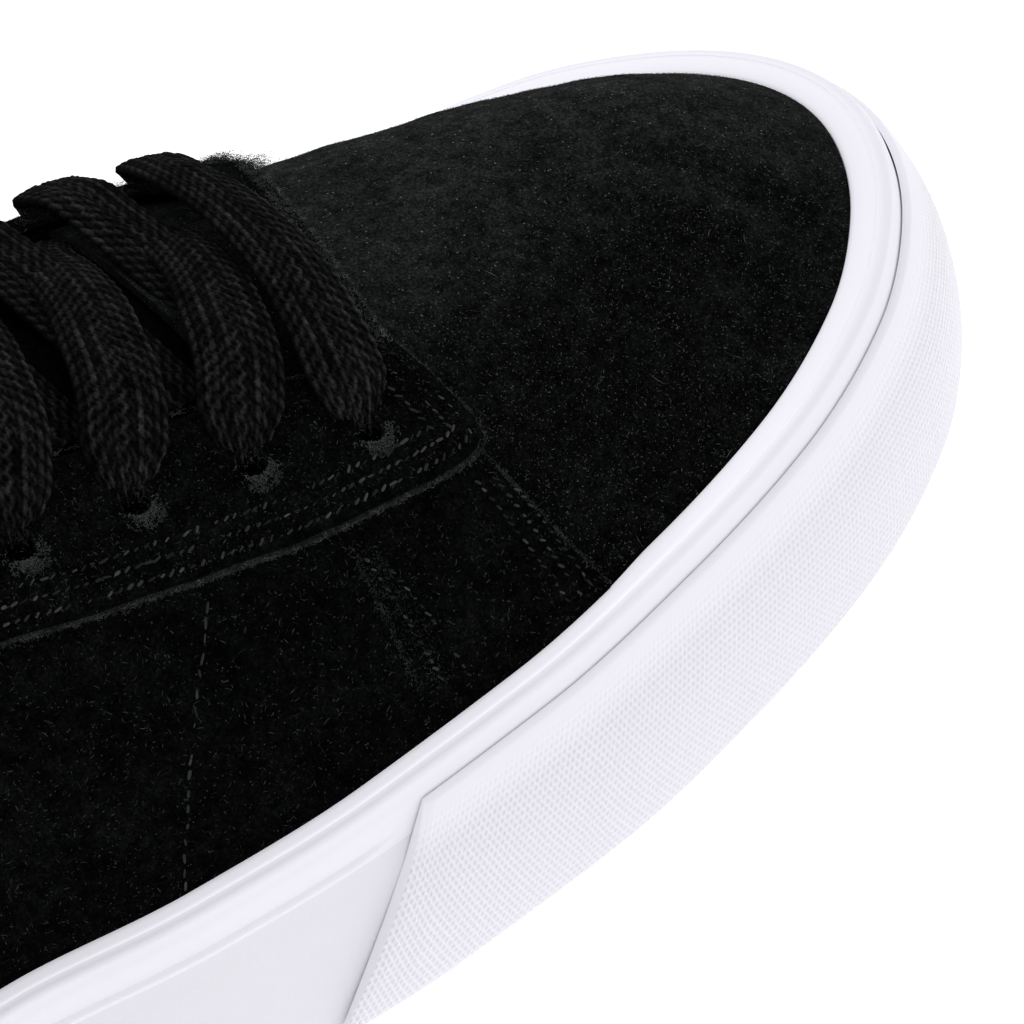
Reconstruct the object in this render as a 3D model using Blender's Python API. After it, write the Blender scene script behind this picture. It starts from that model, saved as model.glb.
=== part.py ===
"""Right low-cut skateboarding shoe in black suede on a white rubber sole.

Metres. The toe points along +X, the inner side of the foot is +Y, Z is up from the floor.
The origin is on the floor under the heel, at the middle of the tread's flat heel spot.
Everything on the upper is placed on one surface, last_surface(), by a place round the
feather line, where upper and sole meet, and a share of the way up to the ridge of the foot.
"""
from collections import namedtuple
from math import floor, pi

import bmesh
import bpy
import numpy as np
from mathutils import Vector

# Main form
LAST_LENGTH = 0.288  # heel to toe at the feather line
BALL_WIDTH = 0.0964  # across the feather line at the ball
HEEL_WIDTH = 0.0700  # across the feather line at the heel
INSTEP_HEIGHT = 0.100  # floor to the ridge of the foot at the top eyelets
COLLAR_HEIGHT = 0.084  # floor to the back of the collar
HEEL_SPOT = 0.045  # back of the feather line to the middle of the heel spot

# Sole
SOLE_HEIGHT = 0.0270  # floor to the feather line at the heel
TOE_SPRING = 0.0079  # lift of the tread at the toe
TOE_RISE = 0.0049  # lift of the feather line at the toe
ARCH_LIFT = 0.0012
FOXING_LIFT = 0.0010  # sidewall above the tread
LEDGE_WIDTH = 0.0053  # top face of the sidewall
LEDGE_ROUND = 0.0010  # rounding of the ledge's outer edge
SOLE_ROUND = 0.0012  # rounding of the sidewall's bottom edge
SIDE_SWELL = 0.0004  # of the sidewall half way down
SIDE_REACH = 0.0056  # sidewall outside the feather line
BUMPER_REACH = 0.0091  # toe bumper outside the feather line
BUMPER_EDGE = 0.0007  # thickness of the bumper at its edges
BUMPER_DROP = 0.0029  # feather line down to the bumper's top edge
RIB_DROP = 0.0054  # feather line down to the rib behind the bumper
RIB_SIZE = 0.0006
BED_HEIGHT = 0.0135  # floor to the bed of the outsole at the heel
BED_SLOPE = 0.0030  # drop of the bed from heel to ball
GROOVE_PITCH = 0.0165
GROOVE_WIDTH = 0.0024
GROOVE_DEPTH = 0.0014

# Upper
WALL = 0.0022
QUARTER_STEP = 0.0010  # the quarter's leather lies this far over the vamp
COLLAR_PADDING = 0.0045
PADDING_DEPTH = 0.034  # down the inside from the collar
THROAT_WIDTH = 0.0475  # at its front
THROAT_TAPER = 0.30  # share of its width lost at the back
THROAT_SHIFT = -0.0023  # middle of the throat, to the outer side
THROAT_CORNER = 0.0065
FRONT_BAND = 0.0045  # eyestay in front of the throat
EYESTAY_WIDTH = 0.0184
EYESTAY_THICKNESS = 0.0014
EYESTAY_CORNER = 0.0055
EYELET_PITCH = 0.0142
EYELET_HOLE = 0.0042
HOLE_DEPTH = 0.0130  # length of the punch
EYELET_INSET = 0.0083  # throat edge to the middle of an eyelet
FIRST_EYELET = 0.0085  # throat front to the first pair
LAST_EYELET = 0.0040  # least distance from the top pair to the collar
EYELET_LEAD = 0.0075  # the inner side's eyelets are this far ahead of the outer side's
INSOLE_THICKNESS = 0.0045
TONGUE_THICKNESS = 0.0050
TONGUE_WIDTH = 0.0600
TONGUE_EDGE = 0.0018  # thickness at its sides
TONGUE_TUCK = 0.0120  # tongue under the vamp
TONGUE_TAPER = 0.0060  # of each side towards its top
TONGUE_CORNER = 0.012  # rounding of its top corners
TONGUE_RISE = 0.0160  # tongue past the throat, measured level
LACE_WIDTH = 0.0090
LACE_THICKNESS = 0.0016
LACE_INSET = 0.0020  # from the throat edge to where a strand starts under it

GAP = 0.0003  # between flat or like-shaped faces
SIDE_GAP = 0.0005  # between the sidewall and what stands inside it
SKIN_GAP = 0.0005  # between pieces on the curved upper
TONGUE_GAP = 0.0009  # under the throat's edges
TONGUE_SWELL = 0.0012  # of the tongue in the open throat
FRONT_SLANT = 0.09  # of the eyestay's front edge, forward to the inner side
RIDGE_WELD = 0.0005  # columns this close at the ridge share a point
COLLAR_BLEND = 0.10  # share of a column over which collar and throat run into each other

# Places along the last, as shares of its length
THROAT_FRONT = 0.752
THROAT_BACK = 0.405
QUARTER_FRONT = 0.769
BUMPER_TOP_END = 0.656
BUMPER_LOW_END = 0.585
RIB_FADE = 0.02
RIDGE_BACK = 0.10
RIDGE_FRONT = 0.85
RIDGE_EASE = 0.06
RISE_FROM = 0.62
SPRING_FROM = 0.68
ARCH_FROM = 0.42
ARCH_TO = 0.58
BED_FROM = 0.20
BED_TO = 0.70
SWELL_FROM = 0.05  # behind the throat's front, where the tongue starts to sink under the vamp
SWELL_TO = 0.01
PADDING_FADE = 0.10  # behind the throat's back, where the collar's padding ends
EYESTAY_START = 0.008  # in front of the throat's back
CORNER_REACH = 0.12  # behind the throat's back, where its edges still meet the collar

# Feather line: half widths to each side as shares of the named width
Plan = namedtuple("Plan", "at lateral medial width")
PLAN = (
    Plan(0.00, 0.000, 0.000, HEEL_WIDTH),
    Plan(0.04, 0.286, 0.286, HEEL_WIDTH),
    Plan(0.12, 0.450, 0.450, HEEL_WIDTH),
    Plan(0.25, 0.507, 0.493, HEEL_WIDTH),
    Plan(0.38, 0.529, 0.471, HEEL_WIDTH),
    Plan(0.48, 0.414, 0.365, BALL_WIDTH),
    Plan(0.56, 0.477, 0.412, BALL_WIDTH),
    Plan(0.64, 0.508, 0.454, BALL_WIDTH),
    Plan(0.72, 0.511, 0.487, BALL_WIDTH),
    Plan(0.80, 0.484, 0.489, BALL_WIDTH),
    Plan(0.87, 0.437, 0.451, BALL_WIDTH),
    Plan(0.93, 0.351, 0.369, BALL_WIDTH),
    Plan(0.97, 0.237, 0.249, BALL_WIDTH),
    Plan(1.00, 0.000, 0.000, BALL_WIDTH),
)

# Ridge of the foot: height as a share of INSTEP_HEIGHT, shift to the inner side as a share of BALL_WIDTH
Ridge = namedtuple("Ridge", "at height inward")
RIDGE = (
    Ridge(0.00, 1.400, 0.000),
    Ridge(0.20, 1.400, 0.000),
    Ridge(0.30, 1.320, 0.010),
    Ridge(0.36, 1.180, 0.030),
    Ridge(0.42, 1.020, 0.045),
    Ridge(0.50, 0.900, 0.050),
    Ridge(0.60, 0.797, 0.051),
    Ridge(0.70, 0.700, 0.054),
    Ridge(0.78, 0.597, 0.050),
    Ridge(0.86, 0.534, 0.042),
    Ridge(0.92, 0.464, 0.030),
)

# Columns of the upper: angle of the wall at the feather line in degrees, its straightness there
# and at the ridge as shares of the column's length and of its level reach
Wall = namedtuple("Wall", "at lean rise crown")
WALLS = (
    Wall(0.00, 97.0, 0.33, 0.80),
    Wall(0.12, 96.0, 0.33, 0.75),
    Wall(0.30, 93.0, 0.33, 0.70),
    Wall(0.45, 90.0, 0.36, 0.65),
    Wall(0.60, 85.0, 0.39, 0.57),
    Wall(0.75, 68.0, 0.38, 0.54),
    Wall(0.90, 30.0, 0.32, 0.52),
    Wall(1.00, 47.0, 0.44, 0.38),
)

# Edge of the collar: height as a share of COLLAR_HEIGHT
Collar = namedtuple("Collar", "at height")
COLLAR = (
    Collar(0.00, 1.00),
    Collar(0.07, 0.99),
    Collar(0.18, 0.86),
    Collar(0.27, 0.80),
    Collar(0.32, 0.84),
    Collar(0.36, 0.93),
    Collar(0.40, 1.07),
    Collar(0.44, 1.24),
    Collar(0.50, 1.50),
)

# Strands of a crossing: height as a share of the step from the tongue up to the eyestay, at shares
# of the way from the throat edge that a strand comes out from under to the one that it goes over
Strand = namedtuple("Strand", "at upper lower")
STRANDS = (
    Strand(0.00, 0.00, 0.00),
    Strand(0.25, 0.03, 0.03),
    Strand(0.50, 0.44, 0.22),
    Strand(0.75, 0.76, 0.72),
    Strand(1.00, 1.00, 1.00),
)

COLUMNS = 34  # of the upper, on each side
LOOP = 72  # sections round the sidewall
ROWS = 8  # of the upper, feather line to opening
VAMP_ROWS = 4  # from there to the ridge
LACE_SECTIONS = 10
TONGUE_SECTIONS = 14
BUMPER_SECTIONS = 40
EYESTAY_SECTIONS = 13  # along each side
HOLE_SIDES = 8
SUEDE = ((0.006, 0.007, 0.007), 0.95)
RUBBER = ((0.80, 0.80, 0.84), 0.50)
LACE = ((0.008, 0.008, 0.009), 0.85)
TEXTILE = ((0.010, 0.010, 0.011), 0.90)


def column(table, name):
    return np.array([getattr(row, name) for row in table], float)


def smooth(table, name, where, scale=1.0):
    """Monotone cubic through one column of a table, times scale."""
    at = column(table, "at")
    value = column(table, name) * scale
    return cubic(at, value, where)


def cubic(at, value, where):
    """Monotone cubic through points."""
    where = np.clip(np.asarray(where, float), at[0], at[-1])
    step = np.diff(at)
    slope = np.diff(value) / step
    before, after = slope[:-1], slope[1:]
    inner = np.zeros(len(before))
    same = before * after > 0
    near = (2 * step[1:] + step[:-1])[same]
    far = (step[1:] + 2 * step[:-1])[same]
    inner[same] = (near + far) / (near / before[same] + far / after[same])
    tangent = np.concatenate([slope[:1], inner, slope[-1:]])
    i = np.clip(np.searchsorted(at, where, side="right") - 1, 0, len(step) - 1)
    u = (where - at[i]) / step[i]
    ends = (1 + 2 * u) * (1 - u) ** 2 * value[i] + u * u * (3 - 2 * u) * value[i + 1]
    turns = u * (1 - u) ** 2 * tangent[i] - u * u * (1 - u) * tangent[i + 1]
    return ends + step[i] * turns


def ease(low, high, where):
    """0 below low, 1 above high, smooth between."""
    u = np.clip((where - low) / (high - low), 0, 1)
    return u * u * (3 - 2 * u)


def half_width(station, side):
    lateral = cubic(column(PLAN, "at"), (column(PLAN, "lateral") * column(PLAN, "width")) ** 2, station)
    medial = cubic(column(PLAN, "at"), (column(PLAN, "medial") * column(PLAN, "width")) ** 2, station)
    return np.sqrt(np.maximum(np.where(side < 0, lateral, medial), 0))


def lift(station, start, amount):
    """Rise towards the toe from a station on."""
    return amount * np.maximum(0, (station - start) / (1 - start)) ** 2


def ground(station):
    """Height of the tread: flat at heel and forefoot, up at the arch and the toe."""
    way = np.clip((station - ARCH_FROM) / (ARCH_TO - ARCH_FROM), 0, 1)
    return lift(station, SPRING_FROM, TOE_SPRING) + ARCH_LIFT * np.sin(pi * way) ** 2


def bed(station):
    """Height of the outsole's top face."""
    return BED_HEIGHT - BED_SLOPE * ease(BED_FROM, BED_TO, station) + lift(station, SPRING_FROM, TOE_SPRING)


def feather_height(station):
    return SOLE_HEIGHT + lift(station, RISE_FROM, TOE_RISE)


def station_of(angle):
    """Share of the last's length at an angle round its plan: 0 is the toe, half a turn the heel."""
    return 0.5 * (1 + np.cos(angle))


def angle_of(station, side):
    return side * np.arccos(np.clip(2 * np.asarray(station, float) - 1, -1, 1))


def feather(angle):
    """Feather line. Angles over 0 are the inner side."""
    station = station_of(angle)
    side = np.where(np.sin(angle) < 0, -1.0, 1.0)
    x = station * LAST_LENGTH - HEEL_SPOT
    return np.stack([x, side * half_width(station, side), feather_height(station)], -1)


def outward(angle):
    """Level unit normal of the feather line."""
    small = 1e-3
    along = feather(angle + small) - feather(angle - small)
    normal = np.stack([along[..., 1], -along[..., 0], 0 * along[..., 0]], -1)
    return normal / np.linalg.norm(normal, axis=-1, keepdims=True)


def ridge_station(station):
    """The ridge stops short of heel and toe, where the columns of the upper fan round its ends."""
    high = RIDGE_FRONT - RIDGE_EASE
    low = RIDGE_BACK + RIDGE_EASE
    up = RIDGE_FRONT - RIDGE_EASE * np.exp(-np.maximum(station - high, 0) / RIDGE_EASE)
    down = RIDGE_BACK + RIDGE_EASE * np.exp(-np.maximum(low - station, 0) / RIDGE_EASE)
    return np.where(station > high, up, np.where(station < low, down, station))


def ridge(angle):
    """The ridge of the foot and its slope along the foot."""
    small = 1e-3
    at = ridge_station(station_of(angle))
    height = smooth(RIDGE, "height", at, INSTEP_HEIGHT)
    ahead = smooth(RIDGE, "height", at + small, INSTEP_HEIGHT)
    behind = smooth(RIDGE, "height", at - small, INSTEP_HEIGHT)
    inward = smooth(RIDGE, "inward", at, BALL_WIDTH)
    point = np.stack([at * LAST_LENGTH - HEEL_SPOT, inward, height], -1)
    return point, (ahead - behind) / (2 * small * LAST_LENGTH)


def last_surface(angle, up):
    """Outer face of the vamp and the lining of all that lies on it: up is 0 at the feather line, 1 at the ridge."""
    angle, up = np.broadcast_arrays(np.asarray(angle, float), np.asarray(up, float))
    station = station_of(angle)
    foot = feather(angle)
    top, slope = ridge(angle)
    reach = foot - top
    length = np.linalg.norm(reach, axis=-1, keepdims=True)
    reach[..., 2] = slope * reach[..., 0]
    lean = np.radians(smooth(WALLS, "lean", station))[..., None]
    rise = smooth(WALLS, "rise", station)[..., None]
    crown = smooth(WALLS, "crown", station)[..., None]
    start = np.sin(lean) * np.array([0, 0, 1.0]) - np.cos(lean) * outward(angle)
    low = foot + length * rise * start
    high = top + crown * reach
    u = up[..., None]
    v = 1 - u
    return v**3 * foot + 3 * v * v * u * low + 3 * v * u * u * high + u**3 * top


def surface_normal(angle, up):
    small = 1e-3
    inside = np.clip(up, small, 1 - small)
    across = last_surface(angle, inside + small) - last_surface(angle, inside - small)
    along = last_surface(angle + small, inside) - last_surface(angle - small, inside)
    normal = np.cross(along, across)
    return normal / np.linalg.norm(normal, axis=-1, keepdims=True)


def raised(angle, up, height):
    """A point at a height over the last's surface."""
    return last_surface(angle, up) + surface_normal(angle, up) * np.asarray(height, float)[..., None]


def on_plan(x, y):
    """Place on the last's surface over a point of the plan, as an angle and a share up."""
    x = np.asarray(x, float)
    y = np.asarray(y, float)
    station = (x + HEEL_SPOT) / LAST_LENGTH
    middle = smooth(RIDGE, "inward", station, BALL_WIDTH)
    side = np.where(y < middle, -1.0, 1.0)
    angle = angle_of(station, side)
    up = np.clip(1 - np.abs(y - middle) / half_width(station, side), 0.02, 0.98)
    small = 1e-4
    for _ in range(12):
        here = last_surface(angle, up)
        by_angle = (last_surface(angle + small, up) - here) / small
        by_up = (last_surface(angle, up + small) - here) / small
        miss_x = x - here[..., 0]
        miss_y = y - here[..., 1]
        whole = by_angle[..., 0] * by_up[..., 1] - by_up[..., 0] * by_angle[..., 1]
        angle = angle + (miss_x * by_up[..., 1] - miss_y * by_up[..., 0]) / whole
        up = np.clip(up + (miss_y * by_angle[..., 0] - miss_x * by_angle[..., 1]) / whole, 0, 1)
    return angle, up


def over_plan(x, y, height):
    """A point at a height over the last's surface, from a point of the plan."""
    return raised(*on_plan(x, y), height)


def x_at(station):
    return station * LAST_LENGTH - HEEL_SPOT


def throat_half(station):
    """Half width of the throat: it narrows to the back and is rounded off at its front."""
    back = (THROAT_FRONT - station) / (THROAT_FRONT - THROAT_BACK)
    corner = THROAT_CORNER / LAST_LENGTH
    past = np.clip((station - (THROAT_FRONT - corner)) / corner, 0, 1)
    return THROAT_WIDTH / 2 * (1 - THROAT_TAPER * back) - THROAT_CORNER * (1 - np.sqrt(1 - past**2))


def share_where(angle, reached):
    """Share up each column at which reached(point) first holds, by halving."""
    low = np.zeros_like(angle)
    high = np.ones_like(angle)
    for _ in range(30):
        middle = 0.5 * (low + high)
        there = reached(last_surface(angle, middle))
        high = np.where(there, middle, high)
        low = np.where(there, low, middle)
    return high


def rim_share(angle):
    """Share up each column at which the opening starts: the collar's height or the throat's half width."""
    side = np.where(np.sin(angle) < 0, -1.0, 1.0)
    station = np.minimum(station_of(angle), THROAT_FRONT)
    angle = angle_of(station, side)
    height = smooth(COLLAR, "height", station, COLLAR_HEIGHT)
    collar = share_where(angle, lambda point: point[..., 2] >= height)
    half = throat_half(station)
    throat = share_where(angle, lambda point: np.abs(point[..., 1] - THROAT_SHIFT) <= half)
    throat = np.where(station < THROAT_BACK - CORNER_REACH, 1.0, throat)
    blend = np.clip(0.5 + 0.5 * (throat - collar) / COLLAR_BLEND, 0, 1)
    return throat + (collar - throat) * blend - COLLAR_BLEND * blend * (1 - blend)


def share_below(angle, start, distance):
    """Share up each column at a distance down the surface from a share."""
    steps = np.linspace(0, 1, 60)
    shares = start[..., None] * (1 - steps)
    points = last_surface(angle[..., None], shares)
    run = np.linalg.norm(np.diff(points, axis=-2), axis=-1)
    length = np.concatenate([np.zeros(run.shape[:-1] + (1,)), np.cumsum(run, axis=-1)], -1)
    return np.array([np.interp(distance, row, share) for row, share in zip(length, shares)])


def new_object(name, mesh, collection):
    obj = bpy.data.objects.new(name, mesh)
    collection.objects.link(obj)
    return obj


def material(name, colour, roughness):
    made = bpy.data.materials.new(name)
    made.use_nodes = True
    shader = made.node_tree.nodes["Principled BSDF"]
    shader.inputs["Base Color"].default_value = (*colour, 1)
    shader.inputs["Roughness"].default_value = roughness
    shader.inputs["Metallic"].default_value = 0.0
    return made


def finish(name, bm, collection, look):
    """Turns a bmesh into a named object with its own material."""
    bmesh.ops.recalc_face_normals(bm, faces=bm.faces)
    mesh = bpy.data.meshes.new(name)
    bm.to_mesh(mesh)
    bm.free()
    mesh.shade_smooth()
    mesh.set_sharp_from_angle(angle=0.6)
    mesh.materials.append(material(name, *look))
    return new_object(name, mesh, collection)


def grid_faces(rows, columns, closed=False):
    """Faces of a grid of points, as quads of row-major numbers."""
    ends = columns if closed else columns - 1
    faces = []
    for i in range(rows - 1):
        for j in range(ends):
            k = (j + 1) % columns
            faces.append((i * columns + j, i * columns + k, (i + 1) * columns + k, (i + 1) * columns + j))
    return faces


def two_skins(name, outer, inner, faces, collection, look):
    """Closed solid between two point sets with the same faces: its skins, and a strip along each open edge."""
    bm = bmesh.new()
    tops = [bm.verts.new(point) for point in outer.reshape(-1, 3)]
    lows = [bm.verts.new(point) for point in inner.reshape(-1, 3)]
    edges = {}
    for face in faces:
        corners = [n for k, n in enumerate(face) if n != face[k - 1]]
        if len(corners) < 3:
            continue
        bm.faces.new([tops[n] for n in corners])
        bm.faces.new([lows[n] for n in reversed(corners)])
        for k, n in enumerate(corners):
            pair = (corners[k - 1], n)
            if pair[::-1] in edges:
                del edges[pair[::-1]]
            else:
                edges[pair] = True
    for a, b in edges:
        bm.faces.new([tops[b], tops[a], lows[a], lows[b]])
    bmesh.ops.delete(bm, geom=[v for v in bm.verts if not v.link_faces], context="VERTS")
    return finish(name, bm, collection, look)


def plate_points(stations, inset, heights):
    """Points of a level plate inside the feather line: outer side, then inner side, at each station."""
    sides = []
    for side in (-1, 1):
        angle = angle_of(stations, side)
        point = feather(angle) - inset * outward(angle)
        point[:, 2] = heights
        sides.append(point)
    for end in (0, -1):
        sides[1][end] = sides[0][end]
        sides[0][end][1] = sides[1][end][1] = 0.0
    return np.stack(sides, 1)


def plate_faces(count):
    """Faces of a plate whose first and last stations are single points."""
    faces = [(0, 2, 3, 3)]
    faces += [(2 * i, 2 * i + 2, 2 * i + 3, 2 * i + 1) for i in range(1, count - 2)]
    faces.append((2 * count - 4, 2 * count - 2, 2 * count - 2, 2 * count - 3))
    return faces


def groove_edges():
    """Stations of the tread's cross grooves: start, floor start, floor end, end."""
    wall = 0.25 * GROOVE_WIDTH
    behind = floor(HEEL_SPOT / GROOVE_PITCH - 1)
    ahead = floor((LAST_LENGTH - HEEL_SPOT) / GROOVE_PITCH - 1)
    edges = []
    for k in range(-behind, ahead + 1):
        start = HEEL_SPOT + (k + 0.5) * GROOVE_PITCH - 0.5 * GROOVE_WIDTH
        edges.append([start, start + wall, start + GROOVE_WIDTH - wall, start + GROOVE_WIDTH])
    return np.array(edges) / LAST_LENGTH


def make_outsole(parts):
    """Tread plate and bed in one block, grooved across underneath."""
    edges = groove_edges()
    round_ends = station_of(np.linspace(pi, 0, 30))
    clear = 0.5 * GROOVE_WIDTH / LAST_LENGTH
    plain = [s for s in round_ends if not ((s > edges[:, 0] - clear) & (s < edges[:, 3] + clear)).any()]
    stations = np.array(sorted(plain + list(edges.ravel())))
    deep = np.isin(stations, edges[:, 1:3].ravel())
    top = plate_points(stations, GAP, bed(stations))
    low = plate_points(stations, GAP, ground(stations) + GROOVE_DEPTH * deep)
    return two_skins("outsole", top, low, plate_faces(len(stations)), parts, RUBBER)


def make_insole(parts):
    stations = station_of(np.linspace(pi, 0, COLUMNS))
    base = bed(stations) + GAP
    inset = WALL + SKIN_GAP
    low = plate_points(stations, inset, base)
    top = plate_points(stations, inset, base + INSOLE_THICKNESS)
    return two_skins("insole", top, low, plate_faces(len(stations)), parts, TEXTILE)


def side_profile(station):
    """Outer face of the sidewall from the feather line down, as reach from it and height."""
    top = feather_height(station)
    low = ground(station) + FOXING_LIFT
    rib = RIB_SIZE * (1 - ease(BUMPER_LOW_END - RIB_FADE, BUMPER_LOW_END, station))
    wall = LEDGE_WIDTH + GAP
    reach_height = (
        (SIDE_GAP, top - 0.2 * LEDGE_ROUND),
        (0.45 * LEDGE_WIDTH, top),
        (LEDGE_WIDTH - LEDGE_ROUND, top - 0.2 * LEDGE_ROUND),
        (LEDGE_WIDTH, top - LEDGE_ROUND),
        (wall, top - BUMPER_DROP),
        (wall, top - RIB_DROP + RIB_SIZE),
        (wall + rib, top - RIB_DROP),
        (wall, top - RIB_DROP - RIB_SIZE),
        (SIDE_REACH + SIDE_SWELL, 0.5 * (top + low)),
        (SIDE_REACH, low + SOLE_ROUND),
        (SIDE_REACH - 0.7 * SOLE_ROUND, low),
    )
    return reach_height


def swept(angle, reach, height):
    """Points outside the feather line."""
    point = feather(angle) + reach[..., None] * outward(angle)
    point[..., 2] = height
    return point


def make_foxing(parts):
    """Sidewall ring: inner face, top ledge, thin step, rib behind the bumper, outer face."""
    angle = np.linspace(0, 2 * pi, LOOP, endpoint=False)
    station = station_of(angle)
    sections = []
    for reach, height in side_profile(station):
        sections.append(swept(angle, reach + 0 * station, height + 0 * station))
    sections.append(swept(angle, SIDE_GAP + 0 * station, ground(station) + FOXING_LIFT))
    points = np.array(sections + sections[:1])
    bm = bmesh.new()
    verts = [bm.verts.new(point) for point in points[:-1].reshape(-1, 3)]
    count = len(verts)
    for face in grid_faces(len(points), LOOP, closed=True):
        bm.faces.new([verts[n % count] for n in face])
    return finish("foxing", bm, parts, RUBBER)


def make_toe_bumper(parts):
    """Raised, rounded strip round the toe, with slanting ends behind the ball."""
    rows = np.array([0.0, 0.05, 0.25, 0.5, 0.75, 0.93, 1.0])
    turns = np.linspace(-1, 1, BUMPER_SECTIONS)
    end = BUMPER_TOP_END + (BUMPER_LOW_END - BUMPER_TOP_END) * rows
    angle = turns[None, :] * np.abs(angle_of(end, 1))[:, None]
    station = station_of(angle)
    top = feather_height(station) - BUMPER_DROP
    low = ground(station) + FOXING_LIFT
    way = rows[:, None] + 0 * station
    height = top + (low - top) * way
    swell = SIDE_REACH + SIDE_SWELL - LEDGE_WIDTH - GAP
    under = np.minimum(1, 2 * way)
    inner = LEDGE_WIDTH + 2 * GAP + swell * under
    belly = np.sin(pi * np.clip(way, 0, 1)) ** 0.7
    outer = inner + BUMPER_EDGE + (BUMPER_REACH - SIDE_REACH - SIDE_SWELL - GAP - BUMPER_EDGE) * belly
    faces = grid_faces(len(rows), len(turns))
    outer_skin = swept(angle, outer, height)
    inner_skin = swept(angle, inner, height)
    return two_skins("toe_bumper", outer_skin, inner_skin, faces, parts, RUBBER)


def upper_stations():
    """Stations of the upper's columns from heel to toe, with its seams, corners and openings on them."""
    spread = station_of(np.linspace(pi, 0, COLUMNS))
    corner = THROAT_CORNER / LAST_LENGTH
    step = 0.5 * QUARTER_STEP / LAST_LENGTH
    marks = [QUARTER_FRONT - step, QUARTER_FRONT + step, THROAT_FRONT]
    marks += [THROAT_FRONT - corner * (1 - np.sin(0.5 * pi * k / 3)) for k in range(3)]
    marks += [THROAT_BACK - 0.01 * k for k in range(3)]
    clear = 0.4 * (spread[COLUMNS // 2 + 1] - spread[COLUMNS // 2])
    plain = [s for s in spread if min(abs(s - mark) for mark in marks) > clear]
    return np.array(sorted(plain + marks))


def upper_lift(station):
    """Height of the upper's outer face over the last: the quarter's leather lies on the vamp."""
    return np.where(station < QUARTER_FRONT, QUARTER_STEP, 0.0)


def padding(station, way):
    """Thickness of the collar's padding inside the wall, at a share of the way up to the opening."""
    rear = 1 - ease(THROAT_BACK - PADDING_FADE, THROAT_BACK - 0.4 * PADDING_FADE, station)
    depth = PADDING_DEPTH / (COLLAR_HEIGHT - SOLE_HEIGHT)
    return COLLAR_PADDING * rear * ease(1 - depth, 1 - 0.4 * depth, way)


def upper_skins(angle, station):
    """Rows of the upper's outer and inner face: hem in the sole, feather line, opening, ridge."""
    rim = rim_share(angle)
    foot = feather(angle)
    inset = outward(angle) * WALL
    hem = foot.copy()
    hem[:, 2] = bed(station) + GAP
    corner = foot - inset
    corner[:, 2] -= WALL * np.tan(0.5 * np.radians(90 - smooth(WALLS, "lean", station)))
    outer = [hem, foot]
    inner = [hem - inset, corner]
    for way in [0.03] + [k / ROWS for k in range(1, ROWS + 1)]:
        outer.append(raised(angle, rim * way, upper_lift(station)))
        inner.append(raised(angle, rim * way, -WALL - padding(station, way)))
    for way in [k / VAMP_ROWS for k in range(1, VAMP_ROWS + 1)]:
        share = rim + (1 - rim) * way
        outer.append(raised(angle, share, upper_lift(station)))
        inner.append(raised(angle, share, -WALL + 0 * station))
    return np.array(outer), np.array(inner)


def make_upper(parts):
    """Vamp and quarters: one hollow shell, open at collar, throat and underneath."""
    stations = upper_stations()
    angle = np.concatenate([angle_of(stations[1:-1], -1), angle_of(stations[::-1], 1)])
    station = station_of(angle)
    outer, inner = upper_skins(angle, station)
    rows, count = outer.shape[:2]
    closed = station > THROAT_FRONT - 1e-6
    ridge_cell = np.round(outer[-1, :, 0] / RIDGE_WELD).astype(int)
    first = {}
    for j, cell in enumerate(ridge_cell):
        first.setdefault(cell, j)
    top = (rows - 1) * count
    faces = []
    for face in grid_faces(rows, count, closed=True):
        row = face[0] // count
        if row < rows - 1 - VAMP_ROWS or (closed[face[0] % count] and closed[face[1] % count]):
            faces.append(tuple(top + first[ridge_cell[n - top]] if n >= top else n for n in face))
    upper = two_skins("upper", outer, inner, faces, parts, SUEDE)
    return upper


def eyelets(side):
    """Places of one side's eyelets on the last, from the front, as angles and shares up."""
    length = (THROAT_FRONT - THROAT_BACK) * LAST_LENGTH - FIRST_EYELET - LAST_EYELET
    count = floor(length / EYELET_PITCH) + 1
    lead = EYELET_LEAD if side > 0 else 0
    stations = THROAT_FRONT - (FIRST_EYELET - lead + EYELET_PITCH * np.arange(count)) / LAST_LENGTH
    angle = angle_of(stations, side)
    return angle, share_below(angle, rim_share(angle), EYELET_INSET)


def eyestay_edges():
    """Plan of the eyestay's inner and outer edge, from the outer side's top round the throat's front."""
    last_station = THROAT_FRONT - THROAT_CORNER / LAST_LENGTH
    stations = np.linspace(THROAT_BACK + EYESTAY_START, last_station, EYESTAY_SECTIONS)
    front = x_at(THROAT_FRONT)
    inner, outer = [], []
    quarter = np.linspace(0, 0.5 * pi, 5)
    for side in (-1, 1):
        angle = angle_of(stations, side)
        rim = rim_share(angle)
        edge = last_surface(angle, rim)
        low = last_surface(angle, share_below(angle, rim, EYESTAY_WIDTH))
        spread = np.linspace(0, 1, len(stations))
        stretch = FRONT_BAND + THROAT_CORNER - EYESTAY_CORNER + FRONT_SLANT * low[-1, 1]
        low[:, 0] += stretch * spread**4
        one = edge[:, :2]
        two = low[:, :2]
        middle = np.array([one[-1, 0], one[-1, 1] - side * THROAT_CORNER])
        turn = np.stack([np.sin(quarter), side * np.cos(quarter)], -1)
        round_one = middle + THROAT_CORNER * turn
        middle = np.array([two[-1, 0], two[-1, 1] - side * EYESTAY_CORNER])
        round_two = middle + EYESTAY_CORNER * turn
        inner.append(np.concatenate([one, round_one[1:]]))
        outer.append(np.concatenate([two, round_two[1:]]))
    paths = []
    for near, far in (inner, outer):
        across = np.linspace(0, 1, 8)[1:-1, None]
        paths.append(np.concatenate([near, near[-1] + (far[-1] - near[-1]) * across, far[::-1]]))
    return paths


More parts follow.
